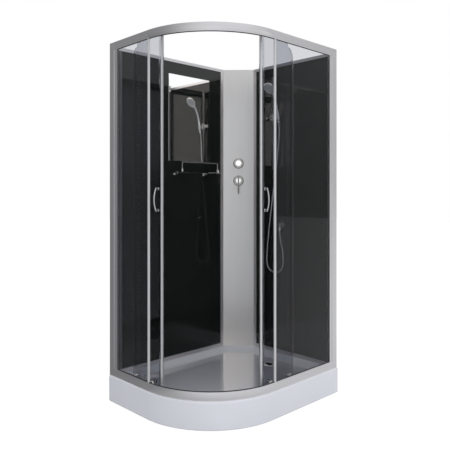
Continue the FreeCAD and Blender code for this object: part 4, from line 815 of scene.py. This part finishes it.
head_centre = handset_base + handset_up * head_up + handset_fore * head_fore
head_outline = [(0.0, 0.0015), (0.0375, 0.0015), (0.0385, 0.0), (0.0415, 0.0005), (0.043, 0.003),
                (0.043, 0.006), (0.041, 0.0105), (0.036, 0.0145), (0.028, 0.018), (0.018, 0.0205),
                (0.008, 0.021), (0.0, 0.021)]
head_grid = turned(head_outline, head_centre, head_axis, fine_sides)
handset = gather("handset_chrome", [handle_grid, head_grid], chrome)
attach(handset, "hand_shower")
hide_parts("handset")

face_plate = finish("pale_spray_plate", (0.50, 0.51, 0.52), 0.25, (90, 90, 90), relief=0.02)
plate_outline = [(0.0, 0.0002), (0.034, 0.0002), (0.0368, 0.0008), (0.0368, 0.002), (0.0, 0.002)]
plate = skin("spray_plate", turned(plate_outline, head_centre, head_axis, fine_sides), face_plate)
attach(plate, "hand_shower")
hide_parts("spray_face")
rubber = finish("grey_nozzle_rubber", (0.30, 0.31, 0.33), 0.6, (300, 300, 300), relief=0.05)
nozzle_outline = [(0.0, -0.0014), (0.0009, -0.0014), (0.0013, 0.0), (0.0013, 0.001), (0.0, 0.001)]
nozzle_sides = 10
nozzles = []
for ring_radius, count in ((0.0, 1), (0.009, 6), (0.018, 12), (0.027, 18)):
    for number in range(count):
        angle = 2 * math.pi * number / count
        from_middle = head_first * math.cos(angle) + head_second * math.sin(angle)
        spot = head_centre + ring_radius * from_middle
        nozzles.append(turned(nozzle_outline, spot, head_axis, nozzle_sides))
tips = gather("spray_nozzles", nozzles, rubber)
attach(tips, "hand_shower")


# ---------------------------------------------------------------- shower hose
# A metal hose, 13 mm, wound from a flat strip so that fine ribs run round it. It leaves the handset's nut,
# hangs in one loop and rises to the wall elbow.

hose_radius, hose_sides = 0.0065, 18
pitch, rib_depth, rib_steps = 0.0045, 0.0007, 5
hose_route = [(0.5130, 0.008, 1.7197), (0.5191, 0.008, 1.6852), (0.517, 0.012, 1.610), (0.514, 0.024, 1.480),
              (0.511, 0.048, 1.305), (0.510, 0.076, 1.130), (0.509, 0.099, 0.960), (0.508, 0.111, 0.840),
              (0.508, 0.114, 0.734), (0.508, 0.040, 0.692), (0.508, -0.034, 0.734), (0.508, -0.033, 0.850),
              (0.509, -0.002, 0.944), (0.509, -0.002, 0.990)]
hose_curve = bpy.data.curves.new("hose_line", "CURVE")
hose_curve.dimensions = "3D"
hose_line = hose_curve.splines.new("NURBS")
hose_line.points.add(len(hose_route) - 1)
for point, place in zip(hose_line.points, hose_route):
    point.co = (*place, 1)
hose_line.order_u = 3
hose_line.use_endpoint_u = True
hose_line.resolution_u = 24
hose_guide = bpy.data.objects.new("hose_line", hose_curve)
hose_mesh = bpy.data.meshes.new_from_object(hose_guide)
line = np.empty(len(hose_mesh.vertices) * 3)
hose_mesh.vertices.foreach_get("co", line)
line = line.reshape(-1, 3)
bpy.data.objects.remove(hose_guide)
run = np.concatenate([[0], np.cumsum(np.linalg.norm(np.diff(line, axis=0), axis=1))])
places = np.arange(0, run[-1], pitch / rib_steps)
smooth_line = np.stack([np.interp(places, run, line[:, k]) for k in range(3)], axis=1)
ribs = hose_radius - rib_depth * (0.5 + 0.5 * np.cos(2 * np.pi * places / pitch)) ** 2
ribs[0] = ribs[-1] = 0.0
hose_steel = finish("wound_steel_hose", (0.56, 0.56, 0.57), 0.16, (200, 200, 200), uneven=0.3, mottle=0.03,
                    Metallic=1.0)
hose = skin("hose_wound", tube(smooth_line, ribs, hose_sides, reference=(1, 0, 0)), hose_steel, sharp=60)
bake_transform(hose)
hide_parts("shower_hose")
